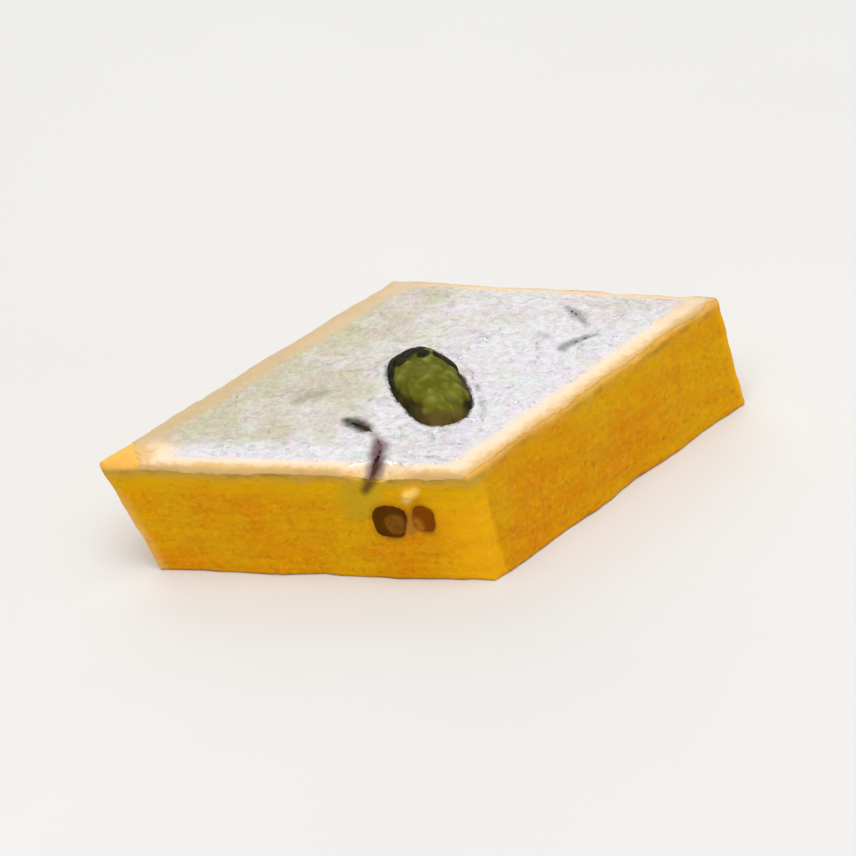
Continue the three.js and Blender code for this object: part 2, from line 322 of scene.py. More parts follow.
@dataclass(frozen=True)
class KernelForm:
    """Half a pistachio kernel, dome up, pressed into the top with its blunt end at the back."""

    length: float = 16.3
    width: float = 8.8
    height: float = 4.3
    sunk: float = 1.8
    at: Pair = (33.2, 15.5)
    turn: float = 121.0
    blunt_end: float = 1.85
    round_end: float = 1.3
    folds: tuple[Triple, ...] = ((0.025, 7, 3), (0.02, 2, 9))

    def axes(self) -> Array:
        """Returns the level directions along and across the kernel."""
        turn = math.radians(self.turn)
        return np.array([[math.cos(turn), math.sin(turn)], [-math.sin(turn), math.cos(turn)]])

    def fullness(self, along: Array) -> Array:
        """Returns how full the outline is towards the end that each place lies nearer to."""
        return np.where(along > 0, self.blunt_end, self.round_end)

    def brim_distance(self, points: Array) -> Array:
        """Returns how far each level point lies outside the kernel at the slab's top."""
        offset = points[:, :2] - np.array(self.at)
        along, across = (offset @ axis for axis in self.axes())
        reach = np.abs(along) / (self.length / 2)
        inner = 1 - np.clip(1 - reach, 0, None) ** (1 / self.fullness(along))
        inner = np.where(reach > 1, reach, inner)
        level = math.sqrt(1 - (self.sunk / self.height) ** 2)
        share = np.hypot(inner, across / (self.width / 2)) / level
        return (share - 1) * level * self.width / 2


@dataclass(frozen=True)
class Stroke:
    """A tear in the leaf, or the middle of a mark: a smooth line with its own width at every point.

    Attributes:
        line: The points that its middle runs through.
        half_widths: Half its width at each of them.
        groove: How deep the fudge is grooved under it.
        steps: How many steps its middle is worked out in.
    """

    line: tuple[Pair, ...]
    half_widths: tuple[float, ...]
    groove: float = 0.0
    steps: int = 48

    def spine(self) -> tuple[Array, Array]:
        """Returns points along the middle, as one smooth curve, and half the width at each."""
        knots = np.array(self.line)
        knots = np.vstack([2 * knots[0] - knots[1], knots, 2 * knots[-1] - knots[-2]])
        spots = np.linspace(0, len(self.line) - 1, self.steps + 1)
        first = np.minimum(spots.astype(int), len(self.line) - 2)
        t = (spots - first)[:, None]
        a, b, c, d = (knots[first + k] for k in range(4))
        curve = b + 0.5 * t * (c - a + t * (2 * a - 5 * b + 4 * c - d + t * (3 * (b - c) + d - a)))
        return curve, np.interp(spots, np.arange(len(self.line)), self.half_widths)

    def distance(self, points: Array) -> Array:
        """Returns how far each level point lies outside the stroke."""
        curve, reach = self.spine()
        gaps = np.linalg.norm(points[:, None, :2] - curve[None], axis=2) - reach[None]
        return gaps.min(axis=1)


@dataclass(frozen=True)
class StrokeMark:
    """A mark along a stroke, used for stains, painted shade and painted highlights.

    Attributes:
        stroke: Its middle line and widths.
        strength: How strong it is in the middle.
        fade: How far past its widths it fades away.
        core: How far inside its widths it reaches its full strength.
    """

    stroke: Stroke
    strength: float
    fade: float
    core: float = 0.3

    def mask(self, points: Array, ragged: Array) -> Array:
        """Returns its strength at each level point, its brim moved in and out by ragged."""
        return self.strength * ramp(self.fade, -self.core, self.stroke.distance(points) + ragged)


@dataclass(frozen=True)
class ChipForm:
    """A chip of nut cut through by the knife.

    Attributes:
        node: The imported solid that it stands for.
        side: The cut face that it lies in.
        along: The share of that side from its start to the chip's middle.
        height: The height of the middle.
        radii: The radii along the side, into the slab and upwards.
        heart: Where its pale middle lies, as shares of the radii along and upwards.
        heart_reach: The radius of that middle, as a share.
        proud: How far it stands out of the cut face.
        foot: How far down it reaches, as a share of the radius upwards.
        lumps: The depth and the rates along and upwards of each wave of its outline.
    """

    node: str
    side: Side
    along: float
    height: float
    radii: Triple
    heart: Pair
    heart_reach: float
    proud: float = 0.15
    foot: float = 0.8
    lumps: tuple[Triple, ...] = ((0.06, 3.1, 2.3), (0.04, -2.9, 4.2))

    def size_at(self, unit: Array) -> Array:
        """Returns how much larger than its radii the chip is in each direction."""
        phase = self.radii[2]
        waves = (d * np.sin(x * unit[:, 0] + z * unit[:, 2] + phase) for d, x, z in self.lumps)
        return sum(waves, np.ones(len(unit)))

    def axes(self, slab: SlabForm) -> tuple[Array, Array, Array]:
        """Returns the chip's middle, the direction along its side, and the outward one."""
        normal = slab.side_normals(slab.corners_at(self.height))[self.side.value]
        middle = slab.point_on_side(self.side.value, self.along, self.height)
        return middle, np.array([-normal[1], normal[0], 0.0]), np.array([*normal, 0.0])

    def brim_distance(self, slab: SlabForm, points: Array) -> Array:
        """Returns how far each point of the cut face lies outside the chip's outline."""
        far = 9.0
        middle, along, outward = self.axes(slab)
        offset = points - middle
        across, up = offset @ along / self.radii[0], offset[:, 2] / self.radii[2]
        flat = np.column_stack([across, np.zeros(len(points)), up])
        reach = np.linalg.norm(flat, axis=1)
        unit = flat / np.maximum(reach, 1e-6)[:, None]
        near = np.abs(offset @ outward) < 2 * self.radii[1]
        gap = (reach - self.size_at(unit)) * min(self.radii[0], self.radii[2])
        return np.where(near, gap, far)


@dataclass(frozen=True)
class Ellipsoid:
    """A rounded hollow or bead, by its middle and radii."""

    at: Triple
    radii: Triple


SLAB = SlabForm()
KERNEL = KernelForm()
EDGE_DIP = Ellipsoid((31.4, -0.7, SLAB.thickness + 1.5), (5.6, 2.9, 2.8))
PUSHED_BEAD = Ellipsoid((34.3, 0.1, SLAB.thickness - 2.8), (1.1, 0.9, 0.8))
CHIPS = (
    ChipForm("nut_chip_front_large", Side.FRONT, 0.748, 7.1, (1.95, 1.5, 2.25), (0.3, -0.05), 0.6),
    ChipForm("nut_chip_front_small", Side.FRONT, 0.845, 7.5, (1.25, 1.2, 1.7), (-0.8, -0.5), 0.8),
    ChipForm("nut_chip_back", Side.BACK, 0.38, 8.4, (2.2, 1.6, 1.4), (-0.4, 0.2), 0.7),
    ChipForm("nut_chip_left", Side.LEFT, 0.56, 5.2, (1.7, 1.4, 1.3), (0.5, -0.35), 0.75),
)

# Tears in the leaf, and the marks beside them, as level places on the top.
CREASE = Stroke(
    (
        (25.5, 9.1),
        (26.6, 8.7),
        (28.0, 7.9),
        (29.2, 6.7),
        (30.4, 4.7),
        (30.7, 3.0),
        (30.7, 1.2),
        (30.5, -2.5),
    ),
    (0.02, 0.2, 0.18, 0.02, 0.1, 0.16, 0.2, 0.26),
    0.55,
)
UPPER_STROKE = Stroke(((44.1, 32.5), (45.5, 31.2), (47.1, 29.2)), (0.0, 0.08, 0.0), 0.15)
LOWER_STROKE = Stroke(((48.8, 27.3), (46.9, 26.1), (45.6, 24.6)), (0.0, 0.1, 0.0), 0.15)
SLIT = Stroke(((18.7, 12.8), (19.9, 15.0), (21.8, 16.6)), (0.0, 0.06, 0.0), 0.1)
SHORT_TEARS = (UPPER_STROKE, LOWER_STROKE, SLIT)
TEARS = (CREASE, *SHORT_TEARS)
# Dark marks by the tears: partly a stain, partly painted shade of the wrinkles.
STAINS_AND_SHADES = (
    StrokeMark(Stroke(((25.4, 9.4), (26.6, 8.8), (27.8, 7.9)), (0.4, 0.9, 0.7)), 1.0, 0.6),
    StrokeMark(Stroke(UPPER_STROKE.line, (0.2, 0.5, 0.2)), 0.55, 0.5),
    StrokeMark(Stroke(LOWER_STROKE.line, (0.1, 0.5, 0.5)), 0.6, 0.5),
    StrokeMark(Stroke(((19.2, 12.6), (20.3, 13.8), (21.6, 14.6)), (0.3, 0.6, 0.3)), 0.3, 0.6),
    StrokeMark(Stroke(((42.5, 27.0), (43.3, 26.6)), (0.3, 0.3)), 0.3, 0.6),
)
# Purple-grey painted shade along the fold in the leaf below the crease.
FOLD_SHADES = (
    StrokeMark(
        Stroke(((29.7, 5.9), (30.4, 4.4), (30.7, 2.6), (30.7, -0.6)), (0.1, 0.7, 0.6, 0.45)),
        1.0,
        0.9,
    ),
    StrokeMark(Stroke(((28.3, 7.5), (29.6, 6.0)), (0.2, 0.3)), 0.5, 0.6),
)

# Marks on the front face, as places along it and heights.
SMEAR = StrokeMark(
    Stroke(((30.5, 13.0), (30.0, 11.4), (29.0, 10.3), (28.0, 8.4)), (0.9, 1.0, 1.1, 0.6)),
    0.75,
    1.6,
)
# Painted shade in the notch at the foot of the crease.
NOTCH_SHADE = StrokeMark(
    Stroke(((30.7, 14.2), (30.4, 12.6), (29.7, 11.0)), (0.5, 0.55, 0.3)), 0.85, 0.6
)
CHIP_BRIDGE = StrokeMark(Stroke(((34.0, 8.0), (34.0, 6.0)), (0.45, 0.4)), 0.75, 0.35)
# Painted highlights: on the pushed bead, and a pale spot to its left.
PALE_HIGHLIGHTS = (
    StrokeMark(Stroke(((34.9, 11.2), (34.3, 10.7), (34.0, 10.0)), (0.4, 0.65, 0.4)), 1.0, 0.4),
    StrokeMark(Stroke(((31.9, 12.9), (31.7, 12.4)), (0.3, 0.25)), 0.8, 0.4),
)


# ---- Materials: shared effects ----


class Kind(Enum):
    """What a socket of a shader group carries."""

    VALUE = "NodeSocketFloat"
    VECTOR = "NodeSocketVector"


class Graph:
    """Builds the nodes of one material or group, left to right."""

    def __init__(self, tree: bpy.types.NodeTree) -> None:
        """Starts an empty graph in tree."""
        self.tree = tree
        self.step = 0
        tree.nodes.clear()

    def add(
        self, kind: str, settings: dict[str, object] | None = None, **inputs: object
    ) -> bpy.types.Node:
        """Adds a node.

        Args:
            kind: The node's type, such as ShaderNodeMath.
            settings: Properties of the node itself.
            **inputs: Its sockets, as for put.

        Returns:
            The new node.
        """
        node = self.tree.nodes.new(kind)
        node.location = (self.step * 180, -(self.step % 4) * 120)
        self.step += 1
        for name, value in (settings or {}).items():
            setattr(node, name, value)
        self.put(node, **inputs)
        return node

    def put(self, node: bpy.types.Node, **inputs: object) -> None:
        """Feeds sockets of a node, by name with _ for a space, from values or sockets."""
        for name, value in inputs.items():
            self.feed(node.inputs[name.replace("_", " ")], value)

    def fed(
        self, kind: str, settings: dict[str, object], slots: Iterable[int], values: Iterable[object]
    ) -> bpy.types.Node:
        """Adds a node whose sockets at slots are fed with values."""
        node = self.add(kind, settings)
        for slot, value in zip(slots, values):
            self.feed(node.inputs[slot], value)
        return node

    def feed(self, target: Socket, value: object) -> None:
        """Links a socket to target, or sets its value."""
        if isinstance(value, bpy.types.NodeSocket):
            self.tree.links.new(value, target)
        else:
            target.default_value = value

    def math(self, operation: str, *values: object, clamp: bool = False) -> Socket:
        """Returns the result of a sum on values or sockets."""
        settings = {"operation": operation, "use_clamp": clamp}
        return self.fed("ShaderNodeMath", settings, range(2), values).outputs[0]

    def times(self, value: object, factor: object) -> Socket:
        """Returns value times factor."""
        return self.math("MULTIPLY", value, factor)

    def plus(self, value: object, extra: object, share: object) -> Socket:
        """Returns value plus a share of extra."""
        return self.math("ADD", value, self.times(extra, share))

    def swayed(self, value: object, pattern: object, share: float) -> Socket:
        """Returns value moved up and down by a pattern whose middle is 0.5."""
        return self.plus(value, self.math("SUBTRACT", pattern, 0.5), share)

    def patchy(self, name: str, pattern: object, least: float) -> Socket:
        """Returns the named mask times a pattern lifted by least, and kept below 1."""
        lifted = self.math("ADD", pattern, least)
        return self.math("MULTIPLY", self.mask(name), lifted, clamp=True)

    def vector(self, operation: str, *values: object) -> Socket:
        """Returns the result of a sum on vectors."""
        node = self.fed("ShaderNodeVectorMath", {"operation": operation}, range(2), values)
        return node.outputs["Vector"]

    def texture(self, kind: str, place: object, scale: object, **inputs: object) -> bpy.types.Node:
        """Adds a texture of a kind, such as Noise, with lumps 1 / scale apart."""
        return self.add("ShaderNodeTex" + kind, Vector=place, Scale=scale, **inputs)

    def mix(self, share: object, first: object, second: object) -> Socket:
        """Returns the colour that is first where share is 0 and second where it is 1."""
        settings = {"data_type": "RGBA", "clamp_factor": True}
        return self.fed("ShaderNodeMix", settings, (0, 6, 7), (share, first, second)).outputs[2]

    def coated(self, colour: Socket, *coats: tuple[object, object]) -> Socket:
        """Returns a colour under coats, each given by its mask and its own colour."""
        for share, coat in coats:
            colour = self.mix(share, colour, coat)
        return colour

    def grade(
        self, value: object, low: float, high: float, to_low: float = 0.0, to_high: float = 1.0
    ) -> Socket:
        """Returns value stretched from low and high to the new ends, and kept between them."""
        settings = {"interpolation_type": "SMOOTHSTEP"}
        ends = {"From_Min": low, "From_Max": high, "To_Min": to_low, "To_Max": to_high}
        return self.add("ShaderNodeMapRange", settings, Value=value, **ends).outputs["Result"]

    def mask(self, name: str) -> Socket:
        """Returns the mask of that name that the mesh carries."""
        return self.add("ShaderNodeAttribute", {"attribute_name": name}).outputs["Fac"]


Inputs = dict[str, Socket]


class SharedGroup:
    """A shader effect that several materials use, built once. Sizes are in millimetres.

    Attributes:
        title: The group's name.
        takes: Its inputs, by name, with their defaults. Place comes before them.
        gives: The names of its outputs.
    """

    title = ""
    takes: dict[str, float | Triple] = {}
    gives: tuple[str, ...] = ("Mask",)

    @classmethod
    def tree(cls) -> bpy.types.NodeTree:
        """Returns the group's node tree, and builds it the first time."""
        found = bpy.data.node_groups.get(cls.title)
        if found:
            return found
        made = bpy.data.node_groups.new(cls.title, "ShaderNodeTree")
        graph = Graph(made)
        takes = {"Place": (0.0, 0.0, 0.0), **cls.takes}
        for name, default in takes.items():
            kind = Kind.VECTOR if isinstance(default, tuple) else Kind.VALUE
            socket = made.interface.new_socket(name, in_out="INPUT", socket_type=kind.value)
            socket.default_value = default
        for name in cls.gives:
            made.interface.new_socket(name, in_out="OUTPUT", socket_type=Kind.VALUE.value)
        start = graph.add("NodeGroupInput")
        results = cls.build(graph, {name: start.outputs[name] for name in takes})
        graph.put(graph.add("NodeGroupOutput"), **results)
        return made

    @staticmethod
    def build(graph: Graph, inputs: Inputs) -> Inputs:
        """Fills the group and returns the socket for each output."""
        raise NotImplementedError

    @classmethod
    def use(cls, graph: Graph, place: Socket, **inputs: object) -> Inputs:
        """Places the group in a graph and returns its outputs by name."""
        node = graph.add("ShaderNodeGroup", {"node_tree": cls.tree()}, Place=place, **inputs)
        return {output.name: output for output in node.outputs}


def rate(graph: Graph, size: Socket) -> Socket:
    """Returns the texture scale whose lumps lie a size apart."""
    return graph.math("DIVIDE", 1 / MM, size)


class Mottle(SharedGroup):
    """Soft patches, as where fudge, nut or metal is a little darker or paler."""

    title = "mottle"
    takes = {"Size": 6.0, "Detail": 3.0, "Warp": 0.6, "Contrast": 1.0}

    @staticmethod
    def build(graph: Graph, inputs: Inputs) -> Inputs:
        """Builds warped noise, stretched about its middle by the contrast."""
        shape = {"Detail": inputs["Detail"], "Distortion": inputs["Warp"]}
        pattern = graph.texture("Noise", inputs["Place"], rate(graph, inputs["Size"]), **shape)
        centred = graph.math("SUBTRACT", pattern.outputs["Fac"], 0.5)
        spread = graph.times(centred, graph.times(inputs["Contrast"], 3.0))
        return {"Mask": graph.math("ADD", spread, 0.5, clamp=True)}


class Speckle(SharedGroup):
    """Scattered round specks of one size, such as bits of nut."""

    title = "speckle"
    takes = {"Spacing": 1.5, "Radius": 0.2, "Share": 0.5}

    @staticmethod
    def build(graph: Graph, inputs: Inputs) -> Inputs:
        """Builds one speck in a share of the cells, ragged at its brim."""
        place, scale = inputs["Place"], rate(graph, inputs["Spacing"])
        cells = graph.texture("Voronoi", place, scale, Randomness=1.0)
        ragged = graph.texture("Noise", place, graph.times(scale, 4.0))
        reach = graph.math("DIVIDE", inputs["Radius"], inputs["Spacing"])
        uneven = graph.times(reach, graph.math("ADD", ragged.outputs["Fac"], 0.5))
        inside = graph.math("SUBTRACT", uneven, cells.outputs["Distance"])
        edge = graph.math("MULTIPLY", inside, 12.0, clamp=True)
        draw = graph.add("ShaderNodeSeparateColor", Color=cells.outputs["Color"]).outputs["Red"]
        return {"Mask": graph.times(edge, graph.math("LESS_THAN", draw, inputs["Share"]))}


class Grain(SharedGroup):
    """The fine relief of a ground paste or a dry skin, as a height."""

    title = "grain"
    takes = {"Size": 0.6, "Depth": 0.05, "Pits": 0.5}
    gives = ("Height", "Mask")

    @staticmethod
    def build(graph: Graph, inputs: Inputs) -> Inputs:
        """Builds lumps from noise, less the small pits between them."""
        place, scale = inputs["Place"], rate(graph, inputs["Size"])
        lumps = graph.texture("Noise", place, scale, Detail=4.0, Roughness=0.6).outputs["Fac"]
        cells = graph.texture("Voronoi", place, graph.times(scale, 0.45))
        sunk = graph.times(graph.grade(cells.outputs["Distance"], 0.32, 0.05), inputs["Pits"])
        shape = graph.math("SUBTRACT", lumps, sunk)
        return {"Height": graph.times(shape, inputs["Depth"]), "Mask": lumps}


class Streaks(SharedGroup):
    """Long fine lines, such as a knife's drag or the wrinkles of a skin."""

    title = "streaks"
    takes = {"Stretch": (8.0, 8.0, 0.8), "Warp": 0.3}

    @staticmethod
    def build(graph: Graph, inputs: Inputs) -> Inputs:
        """Builds noise whose lumps are as long along each axis as Stretch says."""
        places = graph.vector("DIVIDE", inputs["Place"], inputs["Stretch"])
        pattern = graph.texture("Noise", places, 1 / MM, Detail=3.0, Distortion=inputs["Warp"])
        return {"Mask": graph.grade(pattern.outputs["Fac"], 0.3, 0.7)}


class Crumple(SharedGroup):
    """The facets of crumpled foil, as a height that rises at a slope of 1 from each crease."""

    title = "crumple"
    takes = {"Size": 1.5, "Warp": 0.5}
    gives = ("Height",)

    @staticmethod
    def build(graph: Graph, inputs: Inputs) -> Inputs:
        """Builds cells with bent borders, higher the further a point lies from a border."""
        place, size = inputs["Place"], inputs["Size"]
        scale = rate(graph, size)
        bend = graph.texture("Noise", place, graph.times(scale, 0.8)).outputs["Color"]
        centred = graph.vector("SUBTRACT", bend, (0.5, 0.5, 0.5))
        reach = graph.times(graph.times(inputs["Warp"], size), 2 * MM)
        moved = graph.vector("ADD", place, graph.vector("MULTIPLY", centred, reach))
        to_edge = {"feature": "DISTANCE_TO_EDGE"}
        cells = graph.add("ShaderNodeTexVoronoi", to_edge, Vector=moved, Scale=scale)
        return {"Height": graph.times(cells.outputs["Distance"], size)}


# ---- Materials: finishes ----


@dataclass(frozen=True)
class Finish:
    """What every finish has: a name, and a Principled surface that its own nodes feed."""

    name: str

    def material(self) -> bpy.types.Material:
        """Returns the finish's material, and makes it the first time."""
        found = bpy.data.materials.get(self.name)
        if found:
            return found
        made = bpy.data.materials.new(self.name)
        made.use_nodes = True
        graph = Graph(made.node_tree)
        place = graph.add("ShaderNodeTexCoord").outputs["Object"]
        surface = graph.add("ShaderNodeBsdfPrincipled")
        self.dress(graph, place, surface)
        graph.add("ShaderNodeOutputMaterial", Surface=surface.outputs["BSDF"])
        return made

    def dress(self, graph: Graph, place: Socket, surface: bpy.types.Node) -> None:
        """Feeds the surface's sockets from place, the point on the mesh."""
        raise NotImplementedError

    @staticmethod
    def bump(graph: Graph, height: Socket, strength: float = 0.8) -> Socket:
        """Returns the normals that a height in millimetres gives."""
        node = graph.add("ShaderNodeBump", Strength=strength, Distance=MM, Height=height)
        return node.outputs["Normal"]


@dataclass(frozen=True)
class FudgeFinish(Finish):
    """Saffron cashew fudge: dense, a little oily, gold to amber, paler at dried edges, with painted
    highlights and painted shade.
    """

    name: str = "saffron_fudge"
    gold: Four = paint(228, 168, 0)
    amber: Four = paint(228, 146, 0)
    # Dried edges, with painted highlight where light catches the top's edges and arris.
    pale: Four = paint(246, 188, 92)
    # Painted highlight beside the arrises.
    bright: Four = paint(255, 184, 10)
    # Painted highlight on the pushed bead and a pale spot to its left.
    pale_highlight: Four = paint(255, 208, 104)
    golden: Four = paint(230, 176, 0)
    # Painted shade: the duller olive band under the top edge.
    under_edge_shade: Four = paint(200, 164, 72)
    smear: Four = paint(204, 168, 30)
    tan: Four = paint(186, 122, 50)
    shade: Four = paint(84, 58, 30)
    crumb: Four = paint(246, 186, 30)
    pit: Four = paint(168, 104, 0)
    nut_fleck: Four = paint(236, 184, 70)
    saffron_fleck: Four = paint(196, 92, 4)

    def dress(self, graph: Graph, place: Socket, surface: bpy.types.Node) -> None:
        """Mixes the fudge's colours and its fine relief."""
        patches = Mottle.use(graph, place, Size=9.0, Contrast=1.1)["Mask"]
        clouds = Mottle.use(graph, place, Size=2.6, Detail=4.0, Contrast=0.9)["Mask"]
        drag = Streaks.use(graph, place)["Mask"]
        blend = graph.plus(graph.plus(graph.times(patches, 0.5), clouds, 0.25), drag, 0.25)
        grain = Grain.use(graph, place, Size=0.6, Depth=0.2, Pits=0.7)
        flecks = Speckle.use(graph, place, Spacing=1.3, Radius=0.24, Share=0.45)["Mask"]
        threads = Speckle.use(graph, place, Spacing=2.1, Radius=0.16, Share=0.3)["Mask"]
        # The last coats hold painted shade under the top edge and in the tears, and painted
        # highlight on the bead.
        marks = ("golden", "under_edge_shade", "smear", "tan", "shade", "pale_highlight")
        colour = graph.coated(
            graph.mix(graph.grade(blend, 0.15, 0.85), self.gold, self.amber),
            (graph.grade(grain["Mask"], 0.52, 0.7, 0.0, 0.45), self.crumb),
            (graph.grade(grain["Mask"], 0.46, 0.32, 0.0, 0.3), self.pit),
            (graph.times(flecks, 0.35), self.nut_fleck),
            (graph.times(threads, 0.5), self.saffron_fleck),
            # Painted highlight by the arrises, then dried edges with their painted highlight.
            (graph.mask("arris_highlight"), self.bright),
            (graph.patchy("rim", clouds, 0.6), self.pale),
            *((graph.mask(mark), getattr(self, mark)) for mark in marks),
        )
        graph.put(
            surface,
            Base_Color=colour,
            Roughness=graph.grade(grain["Mask"], 0.3, 0.75, 0.38, 0.62),
            Normal=self.bump(graph, graph.plus(grain["Height"], drag, 0.07)),
            Specular_IOR_Level=0.05,
            Subsurface_Weight=0.16,
            Subsurface_Radius=(1.0, 0.5, 0.15),
            Subsurface_Scale=1.2 * MM,
        )


@dataclass(frozen=True)
class LeafFinish(Finish):
    """Beaten silver leaf: satin and crinkled, cream where thin, peach where fudge shows, with
    painted shade and a painted highlight on its cream edge band.
    """

    name: str = "beaten_silver_leaf"
    cool: Four = paint(226, 222, 228)
    # Painted shade, warm in tone, toward the left and the back.
    warm_shade: Four = paint(186, 174, 124)
    lilac: Four = paint(226, 208, 224)
    green: Four = paint(208, 222, 206)
    dull: Four = paint(146, 142, 134)
    # Dark grey by the tears: partly a stain, partly painted shade of the wrinkles.
    stain_and_shade: Four = paint(62, 62, 54)
    # Purple-grey painted shade in the fold below the crease.
    fold_shade: Four = paint(108, 80, 84)
    # The edge band: worn, thin leaf, which also stands in for the painted highlight along the
    # rounded edge.
    cream: Four = paint(248, 220, 186)
    # The edge band's cream and peach under painted shade at the left.
    shaded_sand: Four = paint(203, 175, 130)
    peach: Four = paint(226, 184, 116)

    def dress(self, graph: Graph, place: Socket, surface: bpy.types.Node) -> None:
        """Mixes the leaf's tints, its painted shade, its wear with its painted edge highlight, and
        its crinkles.
        """
        clouds = Mottle.use(graph, place, Size=5.0)["Mask"]
        tints = Mottle.use(graph, place, Size=2.4, Detail=2.0)["Mask"]
        breakup = Mottle.use(graph, place, Size=0.8, Detail=4.0, Contrast=1.4)["Mask"]
        flecks = Streaks.use(graph, place, Stretch=(1.0, 0.8, 0.8), Warp=1.0)["Mask"]
        # Masks of painted shade: warm toward the left and back, by the tears, where it is partly a
        # stain, and in the fold.
        warm_shade, stain_and_shade, fold_shade = (graph.mask(name) for name in ("warm_shade", "stain_and_shade", "fold_shade"))
        warm_shading = graph.grade(graph.swayed(warm_shade, clouds, 0.5), 0.0, 1.0)
        dulled = graph.plus(graph.times(graph.grade(flecks, 0.7, 1.0), 0.25), breakup, 0.08)
        # Worn edge band, which also carries the painted highlight along the rounded edge.
        wear_and_edge_light = graph.swayed(graph.mask("wear_and_edge_light"), breakup, 0.18)
        colour = graph.coated(
            graph.mix(warm_shading, self.cool, self.warm_shade),
            (0.38, graph.mix(tints, self.lilac, self.green)),
            (dulled, self.dull),
            (graph.grade(wear_and_edge_light, 0.05, 0.5), graph.mix(warm_shade, self.cream, self.shaded_sand)),
            (graph.grade(wear_and_edge_light, 0.5, 1.0), graph.mix(warm_shade, self.peach, self.shaded_sand)),
            (fold_shade, self.fold_shade),
            (stain_and_shade, self.stain_and_shade),
        )
        stained_and_shaded = graph.math("MAXIMUM", stain_and_shade, fold_shade)
        metal = graph.grade(wear_and_edge_light, 0.05, 0.6, 0.82, 0.0)
        broad = Crumple.use(graph, place, Size=2.2, Warp=0.6)["Height"]
        fine = Crumple.use(graph, place, Size=0.7, Warp=0.7)["Height"]
        ripples = Streaks.use(graph, place, Stretch=(0.45, 0.4, 0.4), Warp=1.0)["Mask"]
        height = graph.plus(graph.plus(graph.times(broad, 0.12), fine, 0.07), ripples, 0.011)
        height = graph.times(height, graph.grade(wear_and_edge_light, 0.0, 0.5, 1.0, 0.3))
        graph.put(
            surface,
            Base_Color=colour,
            Metallic=graph.math("SUBTRACT", metal, stained_and_shaded, clamp=True),
            Roughness=graph.grade(breakup, 0.0, 1.0, 0.26, 0.46),
            Normal=self.bump(graph, height, 1.0),
            Specular_IOR_Level=0.3,
        )


@dataclass(frozen=True)
class KernelFinish(Finish):
    """A pistachio kernel: olive flesh with yellow ridges, under a dark skin at the rims."""

    name: str = "pistachio_kernel"
    flesh: Four = paint(90, 92, 8)
    ridge: Four = paint(140, 138, 56)
    skin: Four = paint(26, 26, 2)
    russet: Four = paint(98, 80, 34)

    def dress(self, graph: Graph, place: Socket, surface: bpy.types.Node) -> None:
        """Mixes flesh, ridges and skin."""
        clouds = Mottle.use(graph, place, Size=1.8, Detail=4.0, Contrast=1.2)["Mask"]
        flesh = graph.mix(graph.patchy("ridge", clouds, 0.3), self.flesh, self.ridge)
        browned = graph.times(graph.mask("russet"), graph.math("ADD", clouds, 0.5))
        covered = graph.grade(graph.swayed(graph.mask("skin"), clouds, 0.4), 0.05, 0.95)
        grain = Grain.use(graph, place, Size=0.45, Depth=0.06, Pits=0.4)
        graph.put(
            surface,
            Base_Color=graph.mix(covered, flesh, graph.mix(browned, self.skin, self.russet)),
            Roughness=graph.grade(grain["Mask"], 0.3, 0.75, 0.45, 0.7),
            Normal=self.bump(graph, grain["Height"]),
            Specular_IOR_Level=0.05,
        )


@dataclass(frozen=True)
class ChipFinish(Finish):
    """The cut face of a nut chip: brown skin round a paler middle."""

    name: str = "cut_nut_chip"
    skin: Four = paint(90, 52, 0)
    flesh: Four = paint(136, 84, 22)

    def dress(self, graph: Graph, place: Socket, surface: bpy.types.Node) -> None:
        """Mixes skin and flesh by the mask that the mesh carries."""
        clouds = Mottle.use(graph, place, Size=0.9, Detail=4.0, Contrast=1.2)["Mask"]
        grain = Grain.use(graph, place, Size=0.5, Depth=0.14, Pits=0.5)
        graph.put(
            surface,
            Base_Color=graph.mix(graph.patchy("heart", clouds, 0.5), self.skin, self.flesh),
            Roughness=graph.grade(grain["Mask"], 0.3, 0.75, 0.4, 0.65),
            Normal=self.bump(graph, grain["Height"]),
            Specular_IOR_Level=0.03,
        )


DARK_CHIP = ChipFinish()
RUSSET_CHIP = ChipFinish("russet_nut_chip", paint(134, 68, 0), paint(176, 112, 30))


@dataclass(frozen=True)
class FloorFinish(Finish):
    """A plain pale table top, faintly uneven."""

    name: str = "pale_table"
    light: Four = paint(230, 229, 227)
    dim: Four = paint(225, 224, 222)

    def dress(self, graph: Graph, place: Socket, surface: bpy.types.Node) -> None:
        """Mixes two near whites."""
        clouds = Mottle.use(graph, place, Size=90.0, Contrast=0.6)["Mask"]
        colour = graph.mix(clouds, self.light, self.dim)
        graph.put(surface, Base_Color=colour, Roughness=0.8, Specular_IOR_Level=0.2)


# ---- Meshes and pieces ----


@dataclass
class Sculpt:
    """A mesh in the making, in the slab frame.

    Attributes:
        points: Its vertices, in millimetres.
        faces: The vertices of each face, anticlockwise from outside.
        masks: Values from 0 to 1 at each vertex, by name, that its material reads.
    """

    points: Array
    faces: Faces
    masks: dict[str, Array]

    def piece(self, name: str, shift: Array) -> bpy.types.Object:
        """Makes the mesh an object of the scene.

        Args:
            name: The piece's name.
            shift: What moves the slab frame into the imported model's, in millimetres.

        Returns:
            The new object, smooth shaded.
        """
        mesh = bpy.data.meshes.new(name)
        mesh.from_pydata(((self.points + shift) * MM).tolist(), [], self.faces)
        for label, values in self.masks.items():
            attribute = mesh.attributes.new(label, "FLOAT", "POINT")
            attribute.data.foreach_set("value", np.clip(values, 0, 1).astype(np.float32))
        mesh.shade_smooth()
        return placed(name, mesh)


def placed(name: str, data: bpy.types.ID) -> bpy.types.Object:
    """Returns a new object of the scene that shows the given mesh, light or camera."""
    made = bpy.data.objects.new(name, data)
    bpy.context.scene.collection.objects.link(made)
    return made


def band(lower: int, upper: int, count: int) -> Faces:
    """Returns the faces between the rings of count points that start at lower and upper."""
    after = [(i + 1) % count for i in range(count)]
    return [(lower + i, lower + after[i], upper + after[i], upper + i) for i in range(count)]


